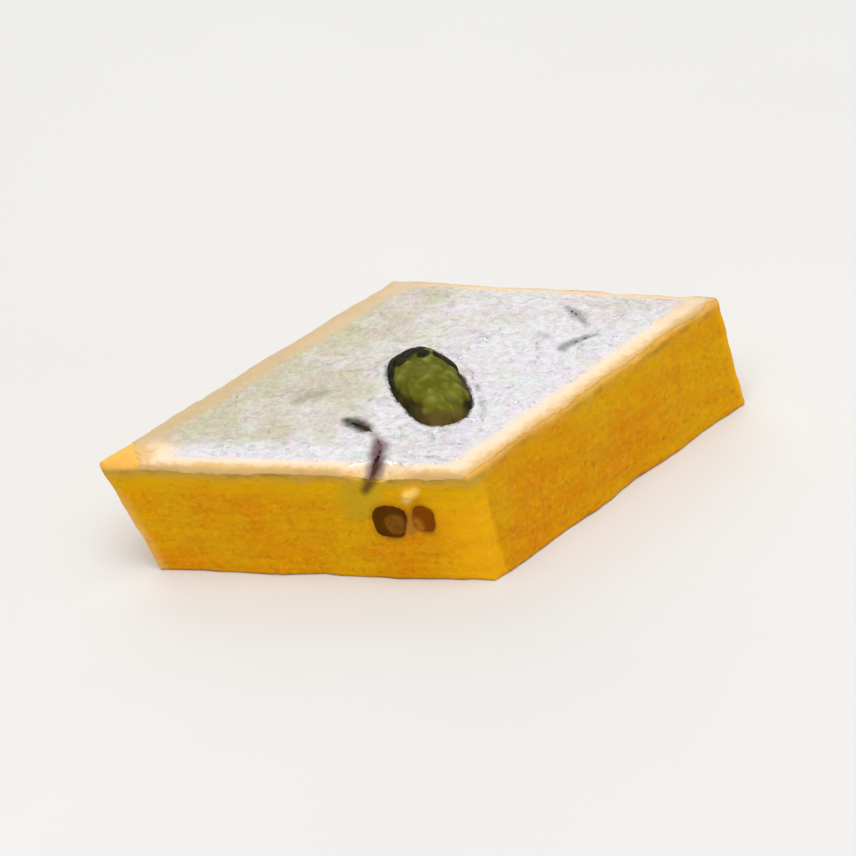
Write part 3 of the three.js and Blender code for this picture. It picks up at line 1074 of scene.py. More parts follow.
def fan(tip: int, ring: int, count: int, tip_first: bool) -> Faces:
    """Returns the faces between a tip and the ring of count points that starts at ring.

    Args:
        tip: The vertex at the tip.
        ring: The first vertex of the ring.
        count: How many points the ring has.
        tip_first: Whether the mesh starts at this tip, so that the faces turn the other way.

    Returns:
        The triangles.
    """
    edges = [(ring + i, ring + (i + 1) % count) for i in range(count)]
    return [(tip, b, a) if tip_first else (a, b, tip) for a, b in edges]


class Part:
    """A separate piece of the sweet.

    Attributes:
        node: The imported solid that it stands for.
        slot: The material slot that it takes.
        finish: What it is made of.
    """

    node: str
    slot: str
    finish: Finish

    @cached_property
    def shape(self) -> Sculpt:
        """The piece's mesh, worked out once."""
        return self.sculpt()

    def sculpt(self) -> Sculpt:
        """Works out the piece's mesh and masks."""
        raise NotImplementedError

    def make(self, shift: Array) -> bpy.types.Object:
        """Makes the piece and dresses it.

        Args:
            shift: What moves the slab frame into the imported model's, in millimetres.

        Returns:
            The piece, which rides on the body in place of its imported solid.
        """
        piece = self.shape.piece("barfi_" + self.node, shift)
        piece.data.materials.append(self.finish.material())
        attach(piece, BODY)
        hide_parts(self.node)
        return piece


# ---- The fudge block ----


@dataclass
class FudgeBlock(Part):
    """The slab: cut sides with drag and pits, crumbled edges, and a top dented by its load."""

    node: str = "fudge_block"
    slot: str = "cashew_fudge"
    finish: Finish = FudgeFinish()
    slab: SlabForm = SLAB
    per_side: int = 130
    per_corner: int = 6
    side_rows: int = 44
    edge_rows: int = 7
    top_rows: int = 72
    base_rows: int = 10
    top_crowding: float = 1.12
    calm_rows: int = 4
    cut_lumps: Lumps = Lumps(2.4, 4, 3.0, depth=0.05)
    knife_drag: Lumps = Lumps(1.0, 3, 8.0, (7.0, 7.0, 0.8), 0.03)
    pits: Lumps = Lumps(2.3, 1, 5.0, depth=0.2)
    pit_radius: float = 0.26
    pit_share: float = 0.22
    top_swells: Lumps = Lumps(5.0, 3, 11.0, depth=0.05)
    top_grain: Lumps = Lumps(1.1, 3, 2.0, depth=0.02)
    dip_grain: Lumps = Lumps(1.0, 3, 4.0, depth=0.08)
    dip_blend: float = 0.3
    pocket_depth: float = 1.9
    pressed_rim: float = 0.2
    chip_pocket: float = 0.5
    bead_height: float = 0.8
    ragged_marks: Lumps = Lumps(1.6, 3, 6.0, depth=0.3)
    mark_patches: Lumps = Lumps(5.0, 2, 14.0)
    line_breaks: Lumps = Lumps(2.2, 2, 15.0)
    front_depth: float = 1.5
    skin_depth: float = 0.8

    def levels(self) -> tuple[Array, Array]:
        """Returns the height of each ring of the sides, and how far its edge draws it in."""
        quarter = np.linspace(0, math.pi / 2, self.edge_rows + 1)
        base, top = self.slab.base_edge_radius, self.slab.top_edge_radius
        brim = self.slab.thickness - top
        straight = np.linspace(base, brim, self.side_rows + 1)[1:-1]
        heights = [
            base * (1 - np.cos(quarter)),
            straight,
            self.slab.thickness - top * (1 - np.sin(quarter)),
        ]
        insets = [
            base * (1 - np.sin(quarter)),
            np.zeros(len(straight)),
            top * (1 - np.cos(quarter)),
        ]
        return np.concatenate(heights), np.concatenate(insets)

    def cut_detail(self, points: Array) -> Array:
        """Returns the fine relief of the cut faces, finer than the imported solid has."""
        pits = self.pits.pitted(points, self.pit_radius, self.pit_share)
        return self.cut_lumps.at(points) + self.knife_drag.at(points) - pits

    def side_ring(self, height: float, inset: float) -> Array:
        """Returns the points of one ring of the sides, with all of its relief."""
        flat, outward = self.slab.ring(height, inset, self.per_side, self.per_corner)
        nominal = to_3d(flat, height)
        crumbled = inset * (self.slab.crumble(nominal) - 1)
        reach = self.slab.relief(nominal) - crumbled + self.cut_detail(nominal)
        for chip in CHIPS:
            reach -= self.chip_pocket * ramp(-0.02, -0.3, chip.brim_distance(self.slab, nominal))
        middle, radii = PUSHED_BEAD.at, PUSHED_BEAD.radii
        near = np.hypot((nominal[:, 0] - middle[0]) / radii[0], (height - middle[2]) / radii[2])
        in_front = nominal[:, 1] < 1
        reach += radii[1] * self.bead_height * hump(near, 0.8) * in_front
        return to_3d(flat + outward * reach[:, None], height)

    def top_offset(self, points: Array) -> Array:
        """Returns how far the top lies above the slab's thickness at each level point."""
        offset = self.top_swells.at(points) + self.top_grain.at(points)
        gap = KERNEL.brim_distance(points)
        offset += self.pressed_rim * hump(gap - 0.45, 0.55) * (gap > -0.6)
        offset -= self.pocket_depth * ramp(-0.12, -0.5, gap)
        for tear in TEARS:
            offset -= tear.groove * ramp(0.25, -0.3, tear.distance(points))
        return offset

    def dipped(self, points: Array) -> Array:
        """Returns the points lowered into the dip that the knife left in the front edge."""
        (x, y, z), radii = EDGE_DIP.at, EDGE_DIP.radii
        flat = 1 - ((points[:, 0] - x) / radii[0]) ** 2 - ((points[:, 1] - y) / radii[1]) ** 2
        floor = z - radii[2] * np.sqrt(np.clip(flat, 0, None)) + self.dip_grain.at(points)
        lowered = -soft_floor(-points[:, 2], -floor, self.dip_blend)
        height = np.where(flat > 0, np.minimum(points[:, 2], lowered), points[:, 2])
        return np.column_stack([points[:, :2], height])

    def sculpt(self) -> Sculpt:
        """Works out the block as rings, from the middle of the base up to that of the top."""
        sides = [self.side_ring(height, inset) for height, inset in zip(*self.levels())]
        count = len(sides[0])
        brim, foot = sides[-1][:, :2], sides[0][:, :2]
        centre, foot_centre = brim.mean(axis=0), foot.mean(axis=0)
        tops = []
        for k in range(1, self.top_rows):
            share = (k / self.top_rows) ** self.top_crowding
            level = to_3d(brim + share * (centre - brim), self.slab.thickness)
            level[:, 2] += self.top_offset(level) * min(1.0, k / self.calm_rows)
            tops.append(level)
        shares = [k / self.base_rows for k in range(self.base_rows - 1, 0, -1)]
        bases = [to_3d(foot + share * (foot_centre - foot)) for share in shares]
        rings = bases + sides + tops
        first, last = [[*foot_centre, 0.0]], [[*centre, self.slab.thickness]]
        points = self.dipped(np.concatenate([first, *rings, last]))
        starts = [1 + row * count for row in range(len(rings))]
        faces = fan(0, 1, count, True)
        for lower, upper in zip(starts, starts[1:]):
            faces += band(lower, upper, count)
        faces += fan(len(points) - 1, starts[-1], count, False)
        return Sculpt(points, faces, self.masks(points))

    def masks(self, points: Array) -> dict[str, Array]:
        """Returns where the fudge is dried, yellower or stained, and where highlight or shade is
        painted on it.
        """
        corners = np.array([self.slab.corners_at(height) for height in points[:, 2]])
        arrises = np.linalg.norm(corners - points[:, None, :2], axis=2).T
        normals = self.slab.side_normals(self.slab.top_corners())
        gaps = [(corners[:, i] - points[:, :2]) @ normal for i, normal in enumerate(normals)]
        inside = np.min(np.abs(gaps), axis=0)
        below_top = self.slab.thickness - points[:, 2]
        ragged, patch = self.ragged_marks.at(points), self.mark_patches.at(points)
        on_front = np.column_stack([points[:, 0], points[:, 2]])
        front, skin = points[:, 1] < self.front_depth, inside < self.skin_depth

        # Dried and pale, with painted highlight where light catches them: the bare corner, the
        # upper edges and the front left arris.
        corner = np.linalg.norm(points[:, :2], axis=1)
        bare = ramp(7.0, 5.0, corner) * ramp(1.3, 0.5, below_top + ragged)
        upper = 0.8 * ramp(1.3, 0.3, below_top + ragged) * ramp(3.0, 0.6, inside + ragged)
        left_arris = 0.8 * ramp(1.9, 0.5, arrises[0] + 0.7 * ragged)

        # Painted highlight: both sides of the front right arris, and narrowly the two at the back.
        reach, wander = np.where(front, 7.5, 2.2), np.where(front, 2.0, 0.6)
        arris_highlight = 0.9 * ramp(reach, 0.5, arrises[1] + wander * ragged)
        back_arris_highlight = ramp(1.4, 0.4, arrises[2:].min(axis=0) + ragged)

        # Under the upper edges, strongest in front: a duller olive band of painted shade, and a
        # yellower band.
        depth = below_top + ragged - 0.3 * patch
        under_edge_shade = 0.75 * (ramp(2.2, 1.0, depth) * ramp(0.5, 0.9, below_top) * skin)
        depth = below_top + 2 * ragged - patch
        golden = 0.75 * ramp(5.0, 2.6, depth) * ramp(0.7, 1.3, below_top) * skin

        # Shade: in the tears, along the leaf's brim and round the chips.
        shallow = ramp(1.6, 0.9, below_top)
        tears = [ramp(1.2, 0.5, CREASE.distance(points))]
        tears += [ramp(1.0, 0.4, tear.distance(points)) for tear in SHORT_TEARS]
        broken = ramp(-0.1, 0.4, self.line_breaks.at(points))
        line = 0.25 * hump(below_top - 1.1 + 0.5 * ragged, 0.3) * broken * skin
        # Painted shade in the notch.
        notch = NOTCH_SHADE.mask(on_front, ragged) * front
        halos = (ramp(0.6, -0.1, chip.brim_distance(self.slab, points)) for chip in CHIPS)
        shade = strongest([strongest(tears) * shallow, notch, line, 0.3 * strongest(halos)])
        return {
            "rim": strongest([bare, upper, left_arris]),
            "arris_highlight": strongest([arris_highlight, back_arris_highlight]),
            "golden": golden * np.where(front, 1.0, 0.3),
            "under_edge_shade": under_edge_shade * np.where(front, 1.0, 0.25),
            "smear": SMEAR.mask(on_front, 2 * ragged) * front,
            "tan": CHIP_BRIDGE.mask(on_front, 0.5 * ragged) * front,
            "shade": shade,
            # Painted highlight on the pushed bead and a pale spot to its left.
            "pale_highlight": strongest(highlight_spot.mask(on_front, ragged) for highlight_spot in PALE_HIGHLIGHTS) * front,
        }


# ---- The silver leaf ----


@dataclass
class SilverLeaf(Part):
    """The torn sheet of beaten leaf, draped over the block and wrapped round its edges."""

    block: Sculpt
    node: str = "silver_leaf"
    slot: str = "silver_leaf"
    finish: Finish = LeafFinish()
    slab: SlabForm = SLAB
    spacing: float = 0.24
    thickness: float = 0.02
    clearance: float = 0.02
    wraps: Four = (1.25, 0.6, 0.45, 0.5)
    edge_band_widths: Four = (2.0, 3.4, 1.8, 3.8)
    raggedness: float = 0.22
    bare_corner: float = 3.9
    edge_band_corner: float = 8.6
    kernel_gap: float = -0.3
    kernel_lift: float = 0.08
    wrinkle: float = 0.1
    curl: float = 0.16
    least_scrap: int = 20
    coarse_wander: Lumps = Lumps(3.4, 3, 21.0)
    fine_wander: Lumps = Lumps(0.9, 3, 33.0)
    broad_folds: Lumps = Lumps(6.0, 2, 51.0)
    fine_folds: Lumps = Lumps(2.0, 2, 57.0)
    fold_bends: tuple[Lumps, ...] = tuple(Lumps(9.0, 2, seed) for seed in (1.0, 2.0, 3.0))
    bend_reach: float = 1.4
    curl_places: Lumps = Lumps(1.8, 2, 61.0)
    wear_patches: Lumps = Lumps(4.0, 3, 71.0)
    ragged_brims: Lumps = Lumps(0.9, 3, 75.0)

    def flat_top(self) -> Array:
        """Returns the corners of the top's flat part, inside its rounded edges."""
        return self.slab.inset(self.slab.top_corners(), self.slab.top_edge_radius)

    def lattice(self) -> tuple[Array, Faces]:
        """Returns an even net of triangles over the whole top and a little more."""
        low = self.slab.top_corners().min(axis=0) - 1
        high = self.slab.top_corners().max(axis=0) + 1
        rise = self.spacing * math.sqrt(3) / 2
        columns = int((high[0] - low[0]) / self.spacing) + 2
        rows = int((high[1] - low[1]) / rise) + 2
        column, row = np.meshgrid(np.arange(columns), np.arange(rows))
        x = low[0] + self.spacing * (column + 0.5 * (row % 2))
        y = low[1] + rise * row
        triangles = []
        for j in range(rows - 1):
            for i in range(columns - 1):
                a, b = j * columns + i, (j + 1) * columns + i
                if j % 2:
                    triangles += [(a, a + 1, b + 1), (a, b + 1, b)]
                else:
                    triangles += [(a, a + 1, b), (a + 1, b + 1, b)]
        return np.column_stack([x.ravel(), y.ravel()]), triangles

    def past_edges(self, points: Array) -> Array:
        """Returns how far past each side of the flat part every point lies, a row a side."""
        corners = self.flat_top()
        normals = self.slab.side_normals(corners)
        return np.array([(points - corner) @ normal for corner, normal in zip(corners, normals)])

    def cover(self, points: Array) -> Array:
        """Returns how far inside the torn leaf each level point lies, negative where bare."""
        places = to_3d(points)
        coarse, fine = self.coarse_wander.at(places), self.fine_wander.at(places)
        wander = self.raggedness * (coarse + 0.6 * fine)
        edge = (np.array(self.wraps)[:, None] - self.past_edges(points) + wander).min(axis=0)
        corner = np.linalg.norm(points - self.flat_top()[0], axis=1)
        corner -= self.bare_corner * (1 + 0.25 * coarse + 0.1 * fine)
        around_kernel = KERNEL.brim_distance(points) - self.kernel_gap - 0.08 * np.abs(fine)
        tears = np.min([tear.distance(points) for tear in TEARS], axis=0) - 0.1 * fine
        return np.minimum.reduce([edge, corner, around_kernel, tears])

    def creases(self, points: Array) -> Array:
        """Returns the height of the leaf's wrinkles over the block at each level point."""
        places = to_3d(points)
        bends = np.column_stack([bend.at(places) for bend in self.fold_bends])
        bent = places + self.bend_reach * bends
        broad = ramp(0.75, 1.0, self.broad_folds.creased(bent))
        fine = ramp(0.7, 1.0, self.fine_folds.creased(bent))
        return self.wrinkle * (broad + 0.5 * fine)

    def clip(self) -> tuple[Array, Array, Faces]:
        """Cuts the net along the leaf's torn outline.

        Returns:
            The points, how far inside the leaf each one lies, and the triangles that are left.
        """
        flat, triangles = self.lattice()
        cover = self.cover(flat)
        least = 0.15 * self.spacing
        cover = np.where(np.abs(cover) < least, np.copysign(least, cover), cover)
        points, depth, cuts = list(flat), list(cover), {}

        def cut(inner: int, outer: int) -> int:
            """Returns the vertex where the outline crosses the edge from inner to outer."""
            if (inner, outer) not in cuts:
                share = depth[inner] / (depth[inner] - depth[outer])
                cuts[inner, outer] = len(points)
                points.append(points[inner] + share * (points[outer] - points[inner]))
                depth.append(0.0)
            return cuts[inner, outer]

        kept = []
        for triangle in triangles:
            inside = [cover[i] > 0 for i in triangle]
            if all(inside):
                kept.append(triangle)
            elif sum(inside) == 1:
                a, b, c = np.roll(triangle, -inside.index(True)).tolist()
                kept.append((a, cut(a, b), cut(a, c)))
            elif sum(inside) == 2:
                a, b, c = np.roll(triangle, -inside.index(False)).tolist()
                kept += [(cut(b, a), b, c), (cut(b, a), c, cut(c, a))]
        return np.array(points), np.array(depth), kept

    def without_scraps(self, triangles: Faces) -> Array:
        """Returns the triangles less those of loose scraps that have too few of them."""
        parent: dict[int, int] = {}

        def root(vertex: int) -> int:
            """Returns the vertex that stands for the scrap that vertex is in."""
            while parent.setdefault(vertex, vertex) != vertex:
                parent[vertex] = parent[parent[vertex]]
                vertex = parent[vertex]
            return vertex

        for a, b, c in triangles:
            parent[root(a)] = root(b)
            parent[root(b)] = root(c)
        roots = [root(a) for a, _, _ in triangles]
        sizes = dict(zip(*np.unique(roots, return_counts=True)))
        return np.array([t for t, r in zip(triangles, roots) if sizes[r] >= self.least_scrap])

    def wrapped(self, flat: Array) -> Array:
        """Returns flat points bent down round the top's edges and on down the sides."""
        corners = self.flat_top()
        best, nearest = np.full(len(flat), np.inf), flat.copy()
        for start, end in zip(corners, np.roll(corners, -1, axis=0)):
            side = end - start
            share = np.clip((flat - start) @ side / (side @ side), 0, 1)
            place = start + share[:, None] * side
            gap = np.linalg.norm(flat - place, axis=1)
            closer = gap < best
            best = np.where(closer, gap, best)
            nearest = np.where(closer[:, None], place, nearest)
        outside = self.past_edges(flat).max(axis=0) > 0
        radius = self.slab.top_edge_radius
        angle = np.minimum(best / radius, math.pi / 2)
        down = radius * (1 - np.cos(angle)) + np.maximum(best - radius * math.pi / 2, 0)
        away = (flat - nearest) / np.maximum(best, 1e-9)[:, None]
        bent = nearest + away * (radius * np.sin(angle))[:, None]
        level = np.where(outside[:, None], bent, flat)
        return np.column_stack([level, self.slab.thickness - np.where(outside, down, 0)])

    def laid(self, points: Array) -> Array:
        """Returns points moved to the nearest places on the block."""
        tree = BVHTree.FromPolygons(self.block.points.tolist(), self.block.faces)
        return np.array([tree.find_nearest(Vector(point))[0][:] for point in points])

    @staticmethod
    def normals(points: Array, triangles: Array) -> Array:
        """Returns the direction that the sheet faces at each point."""
        a, b, c = (points[triangles[:, k]] for k in range(3))
        facing = np.cross(b - a, c - a)
        total = np.zeros_like(points)
        for k in range(3):
            np.add.at(total, triangles[:, k], facing)
        return total / np.maximum(np.linalg.norm(total, axis=1, keepdims=True), 1e-12)

    @staticmethod
    def closed(triangles: Array, count: int) -> Faces:
        """Returns both faces of the sheet, and the walls along its outline.

        Args:
            triangles: The upper face.
            count: How many points it has. Those of the lower face follow, in the same order.

        Returns:
            The faces of the closed sheet.
        """
        upper = [tuple(triangle) for triangle in triangles.tolist()]
        lower = [(c + count, b + count, a + count) for a, b, c in upper]
        edges = [(t[i], t[(i + 1) % 3]) for t in upper for i in range(3)]
        known = set(edges)
        walls = [(b, a, a + count, b + count) for a, b in edges if (b, a) not in known]
        return upper + lower + walls

    def sculpt(self) -> Sculpt:
        """Works out the leaf as a thin closed sheet, lifted a little along its torn edges."""
        flat, depth, triangles = self.clip()
        used, index = np.unique(self.without_scraps(triangles), return_inverse=True)
        triangles = index.reshape(-1, 3)
        flat, depth = flat[used], depth[used]
        base = self.laid(self.wrapped(flat))
        up = self.normals(base, triangles)
        past = self.past_edges(flat)
        curled = ramp(-0.1, 0.5, self.curl_places.at(to_3d(flat)))
        lift = self.curl * ramp(0.8, 0.0, depth) * curled
        corner = np.linalg.norm(flat, axis=1)
        flatness = ramp(0.4, -2.4, past.max(axis=0)) * ramp(4.0, 8.0, corner)
        rise = self.clearance + self.thickness + (self.creases(flat) + lift) * flatness
        rise += self.kernel_lift * ramp(0.7, 0.2, KERNEL.brim_distance(flat))
        top = base + up * rise[:, None]
        points = np.vstack([top, top - up * self.thickness])
        masks = {name: np.tile(mask, 2) for name, mask in self.masks(flat, depth, past).items()}
        return Sculpt(points, self.closed(triangles, len(flat)), masks)

    def masks(self, flat: Array, depth: Array, past: Array) -> dict[str, Array]:
        """Returns where the leaf is worn and carries painted highlight at the edges, has warm
        painted shade, is stained and shaded by the tears, and is shaded in its fold.

        Args:
            flat: The leaf's points before it is bent.
            depth: How far inside its outline each lies.
            past: How far past each side of the top's flat part each lies.

        Returns:
            The masks by name.
        """
        patch = self.wear_patches.at(to_3d(flat))
        ragged = 0.25 * self.ragged_brims.at(to_3d(flat))
        # The edge band: worn, thin leaf that also carries the painted highlight along the rounded
        # edge.
        inset = self.slab.top_edge_radius - past
        rims = (1 - inset / np.array(self.edge_band_widths)[:, None]).max(axis=0)
        corner = np.linalg.norm(flat - self.flat_top()[0], axis=1)
        rims = np.maximum(rims, (self.edge_band_corner - corner) / 4.8)
        # Painted shade, warm in tone: toward the left side, and more weakly at the back.
        left = ramp(40.0, 4.0, flat[:, 0] - 0.25 * flat[:, 1] + 4 * patch)
        left *= ramp(2.5, 5.5, flat[:, 1] + patch)
        back = 0.4 * ramp(26.0, 36.0, flat[:, 1] + 3 * patch)
        return {
            "wear_and_edge_light": rims + 0.09 * patch + 0.1 * ramp(0.5, 0.0, depth),
            "warm_shade": strongest([left, back]),
            "stain_and_shade": strongest(each_mark.mask(flat, ragged) for each_mark in STAINS_AND_SHADES),
            "fold_shade": strongest(each_mark.mask(flat, ragged) for each_mark in FOLD_SHADES),
        }


# ---- The pistachio half ----


@dataclass
class PistachioHalf(Part):
    """The half kernel: a furrowed dome on a flat split face.

    Its spots are given by their place along and across the kernel and their radius.
    """

    node: str = "pistachio_half"
    slot: str = "pistachio"
    finish: Finish = KernelFinish()
    form: KernelForm = KERNEL
    along_steps: int = 120
    round_steps: int = 84
    furrow: float = 0.18
    wrinkles: Lumps = Lumps(2.4, 2, 81.0, (1.0, 1.6, 1.0))
    bumps: Lumps = Lumps(1.3, 3, 85.0, (1.0, 1.3, 1.0))
    skin_edge: Lumps = Lumps(2.0, 3, 91.0, depth=0.1)
    skin_ends: Lumps = Lumps(2.0, 3, 95.0, depth=0.1)
    skin_spots: tuple[Triple, ...] = ((4.2, 1.7, 0.85), (4.1, -0.7, 1.1), (3.7, -2.3, 1.0))
    # Patches of painted shade at the near end's corners, drawn in the skin's colour.
    near_end_shades: tuple[Triple, ...] = ((-2.6, 3.6, 1.9), (-5.4, -2.9, 1.8))
    pale_spots: tuple[Triple, ...] = ((-4.3, 0.9, 1.5), (-4.5, -1.3, 1.3))
    green_spots: tuple[Triple, ...] = ((-1.6, -0.5, 2.0),)

    @staticmethod
    def spots(points: Array, places: tuple[Triple, ...], core: float = 0.0) -> Array:
        """Returns round spots, each 1 in its core and fading to 0 at its brim.

        Args:
            points: The points, in the kernel's own axes.
            places: The spots.
            core: The share of the radius that is 1 all through.

        Returns:
            The strength at each point.
        """
        along, across = points[:, 0], points[:, 1]
        return strongest(
            ramp(r, r * core, np.hypot(along - x, across - y)) for x, y, r in places
        )

    def sculpt(self) -> Sculpt:
        """Works out the kernel as rings across its length."""
        form = self.form
        sweep = np.linspace(0, math.pi, self.along_steps + 1)[1:-1]
        turn = np.linspace(0, math.pi, self.round_steps + 1)
        sweep, turn = (grid.ravel() for grid in np.meshgrid(sweep, turn, indexing="ij"))
        along, around = np.cos(sweep), np.sin(sweep)
        reach = np.sign(along) * (1 - (1 - np.abs(along)) ** form.fullness(along))
        reach = reach * form.length / 2
        fold = sum(depth * np.sin(a * turn + b * along) for depth, a, b in form.folds)
        strip = np.column_stack([turn * form.width / 2, reach, np.zeros(len(turn))])
        wrinkles, bumps = self.wrinkles.creased(strip), self.bumps.at(strip)
        relief = self.furrow * (1.1 * bumps - 0.8 * ramp(0.6, 1.0, wrinkles))
        relief *= ramp(0.3, 0.7, np.sin(turn))
        size = 1 + fold + relief / (form.width / 2) * around
        across = around * np.cos(turn) * size * form.width / 2
        up = around * np.sin(turn) * size * form.height
        ends = np.array([[form.length / 2, 0, 0], [-form.length / 2, 0, 0]])
        points = np.vstack([np.column_stack([reach, across, up]), ends])
        rows, columns = self.along_steps - 1, self.round_steps + 1
        starts = [row * columns for row in range(rows)]
        faces = fan(rows * columns, 0, columns, True)
        for lower, upper in zip(starts, starts[1:]):
            faces += band(lower, upper, columns)
        faces += fan(rows * columns + 1, starts[-1], columns, False)
        ridges = np.append(ramp(-0.3, 0.7, bumps) * ramp(1.1, 0.6, wrinkles), [0, 0])
        level = points[:, :2] @ form.axes() + np.array(form.at)
        moved = np.column_stack([level, points[:, 2] + SLAB.thickness - form.sunk])
        return Sculpt(moved, faces, self.masks(points, ridges))

    def masks(self, points: Array, ridges: Array) -> dict[str, Array]:
        """Returns where skin and painted shade at the near end cover the flesh, where it is russet,
        and where flesh is pale.

        Args:
            points: The points, in the kernel's own axes.
            ridges: How high a lump of flesh each is on.

        Returns:
            The masks by name.
        """
        height = points[:, 2] / self.form.height + self.skin_edge.at(points)
        along = points[:, 0] / (self.form.length / 2) + self.skin_ends.at(points)
        across = np.abs(points[:, 1]) / (self.form.width / 2)
        rim = ramp(0.14, -0.12, height - 0.66 - 0.02 * ramp(0.2, -0.6, along))
        far_end = ramp(0.46, 0.62, along)
        # Painted shade at the near end's corners, in the skin's colour.
        end_shade = self.spots(points, self.near_end_shades)
        tip = ramp(-0.5, -0.9, along) * ramp(0.7, 0.2, across)
        russet = 0.4 * ramp(0.35, -0.35, along) + 0.6 * tip
        ridge = strongest([ridges, 0.7 * self.spots(points, self.pale_spots)])
        spots = self.spots(points, self.skin_spots, 0.45)
        return {
            "skin": strongest([rim, far_end, spots, 0.8 * end_shade]),
            "russet": russet * (1 - 0.9 * end_shade),
            "ridge": ridge * (1 - 0.7 * self.spots(points, self.green_spots)),
        }


# ---- The nut chips ----


@dataclass
class NutChip(Part):
    """One chip in a cut face, sliced nearly flush by the knife."""

    form: ChipForm
    finish: Finish
    slot: str = "nut_chip"
    subdivisions: int = 5
    cut_blend: float = 0.12
    foot_blend: float = 0.3
    heart_edge: Lumps = Lumps(1.1, 3, 2.0, depth=0.2)

    @property
    def node(self) -> str:
        """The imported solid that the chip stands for."""
        return self.form.node

    def sculpt(self) -> Sculpt:
        """Works out the chip from a ball, cut flat by the knife and under its foot."""
        work = bmesh.new()
        bmesh.ops.create_icosphere(work, subdivisions=self.subdivisions, radius=1.0)
        unit = np.array([vertex.co[:] for vertex in work.verts])
        faces = [tuple(vertex.index for vertex in face.verts) for face in work.faces]
        work.free()
        form, radii = self.form, np.array(self.form.radii)
        local = unit * radii * form.size_at(unit)[:, None]
        rough = Lumps(0.8, 3, form.height, depth=0.05).at(local)
        local[:, 1] = soft_floor(local[:, 1], -form.proud + rough, self.cut_blend)
        local[:, 2] = soft_floor(local[:, 2], -form.foot * radii[2], self.foot_blend)
        middle, along, outward = form.axes(SLAB)
        x, y, z = local[:, :1], local[:, 1:2], local[:, 2:]
        points = middle + x * along - y * outward + z * np.array([0, 0, 1.0])
        offset = local[:, [0, 2]] / radii[[0, 2]] - np.array(form.heart)
        reach = np.linalg.norm(offset, axis=1) / form.heart_reach
        return Sculpt(points, faces, {"heart": ramp(1.2, 0.6, reach + self.heart_edge.at(local))})


# ---- The studio ----


@dataclass(frozen=True)
class Softbox:
    """A square panel light.

    Attributes:
        name: What it is for.
        azimuth: Where it stands round the piece, in degrees, as the camera's azimuth counts.
        elevation: How high it stands, in degrees.
        distance: How far off, in metres.
        side: The panel's side, in metres.
        power: Its power, in watts.
    """

    name: str
    azimuth: float
    elevation: float
    distance: float
    side: float
    power: float

    def make(self, target: Vector) -> None:
        """Makes the light, facing target."""
        lamp = bpy.data.lights.new(self.name, "AREA")
        lamp.shape, lamp.size, lamp.energy = "SQUARE", self.side, self.power
        made = placed(self.name, lamp)
        away = outward_direction(self.azimuth, self.elevation)
        made.location = target + away * self.distance
        made.rotation_euler = away.to_track_quat("Z", "Y").to_euler()


def outward_direction(azimuth: float, elevation: float) -> Vector:
    """Returns the direction from the piece towards an azimuth and elevation, in degrees."""
    a, e = math.radians(azimuth), math.radians(elevation)
    return Vector((math.sin(a) * math.cos(e), -math.cos(a) * math.cos(e), math.sin(e)))


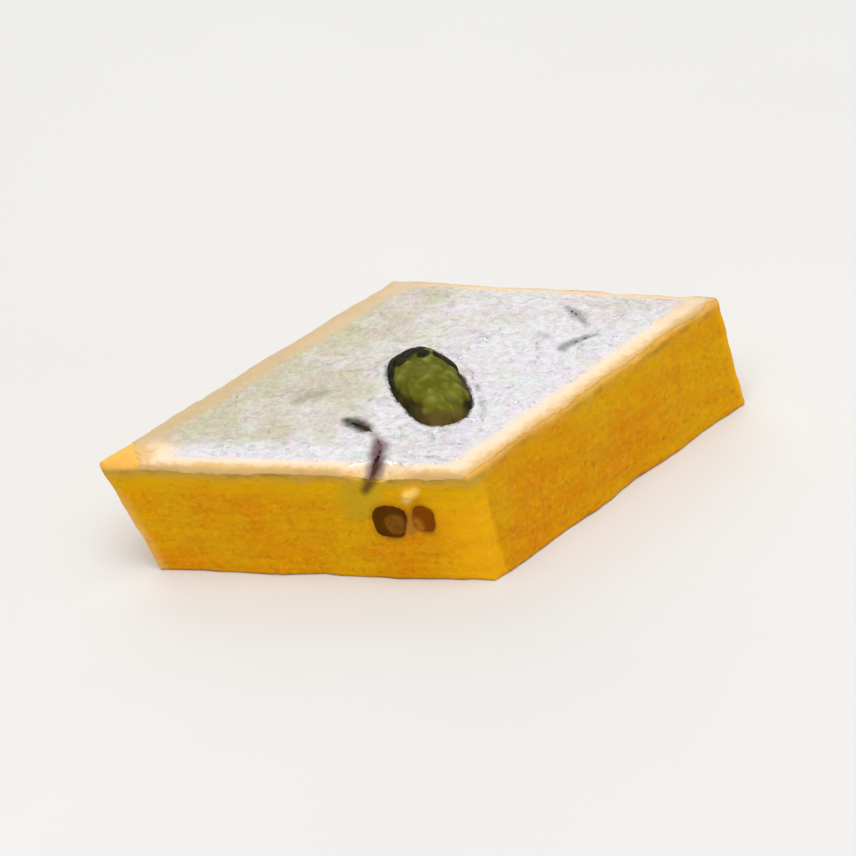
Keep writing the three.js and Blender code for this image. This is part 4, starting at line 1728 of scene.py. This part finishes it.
@dataclass(frozen=True)
class Studio:
    """The pale table, the soft light and the camera at the photograph's viewing angle."""

    azimuth: float = 18.9
    elevation: float = 32.1
    roll: float = 8.75
    distance: float = 0.683
    lens: float = 268.0
    sensor: float = 36.0
    clip: Pair = (0.01, 20.0)
    floor_side: float = 3.0
    floor_steps: int = 24
    sky: float = 0.4
    softboxes: tuple[Softbox, ...] = (
        Softbox("overhead", 22.0, 74.0, 0.8, 0.8, 5.6),
        Softbox("side_fill", 95.0, 25.0, 0.9, 0.5, 0.05),
        Softbox("back_panel", 205.0, 34.0, 0.9, 0.9, 2.2),
    )

    def make_floor(self) -> None:
        """Makes the table top, level with the slab's base."""
        work = bmesh.new()
        steps = self.floor_steps
        bmesh.ops.create_grid(work, x_segments=steps, y_segments=steps, size=self.floor_side / 2)
        mesh = bpy.data.meshes.new("table_top")
        work.to_mesh(mesh)
        work.free()
        mesh.materials.append(FloorFinish().material())
        placed("table_top", mesh)

    def make_sky(self) -> None:
        """Lights everything evenly from a white surrounding."""
        world = bpy.data.worlds.new("white_surrounding")
        world.use_nodes = True
        ground = world.node_tree.nodes["Background"]
        ground.inputs["Color"].default_value = (1.0, 1.0, 1.0, 1.0)
        ground.inputs["Strength"].default_value = self.sky
        bpy.context.scene.world = world

    def make_camera(self, target: Vector) -> None:
        """Makes the camera, turned about its axis as the photograph's is."""
        back = outward_direction(self.azimuth, self.elevation)
        right = Vector((0, 0, 1)).cross(back).normalized()
        up = back.cross(right)
        roll = math.radians(self.roll)
        side = right * math.cos(roll) - up * math.sin(roll)
        top = right * math.sin(roll) + up * math.cos(roll)
        lens = bpy.data.cameras.new("photo_view")
        lens.lens, lens.sensor_width = self.lens, self.sensor
        lens.clip_start, lens.clip_end = self.clip
        made = placed("photo_view", lens)
        turned = Matrix((side, top, back)).transposed().to_4x4()
        made.matrix_world = Matrix.Translation(target + back * self.distance) @ turned
        bpy.context.scene.camera = made

    def make(self, target: Vector) -> None:
        """Makes the whole studio round target."""
        self.make_floor()
        self.make_sky()
        for softbox in self.softboxes:
            softbox.make(target)
        self.make_camera(target)
        bpy.context.scene.view_settings.view_transform = "Standard"


# ---- Assembly ----


def slab_shift(block: Sculpt) -> Array:
    """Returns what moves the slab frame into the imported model's frame, in millimetres."""
    low, high = (np.array(corner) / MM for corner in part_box("fudge_block"))
    middle = (low + high) / 2 - (block.points.min(axis=0) + block.points.max(axis=0)) / 2
    return np.array([middle[0], middle[1], 0.0])


def report(piece: bpy.types.Object) -> None:
    """Logs a piece's name and size."""
    sides = ", ".join(f"{side / MM:.1f}" for side in piece.dimensions)
    LOG.info("%s: %d faces, %s mm", piece.name, len(piece.data.polygons), sides)


def main() -> None:
    """Builds the whole scene."""
    logging.basicConfig(level=logging.INFO, format="%(name)s: %(message)s")
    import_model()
    block = FudgeBlock()
    finishes = (DARK_CHIP, RUSSET_CHIP, DARK_CHIP, RUSSET_CHIP)
    chips = (NutChip(form, finish) for form, finish in zip(CHIPS, finishes))
    parts: list[Part] = [block, SilverLeaf(block.shape), PistachioHalf(), *chips]
    shift = slab_shift(block.shape)
    for part in parts:
        report(part.make(shift))
    Studio().make(Vector((0.0, 0.0, SLAB.thickness * MM / 2)))


if __name__ == "__main__":
    main()
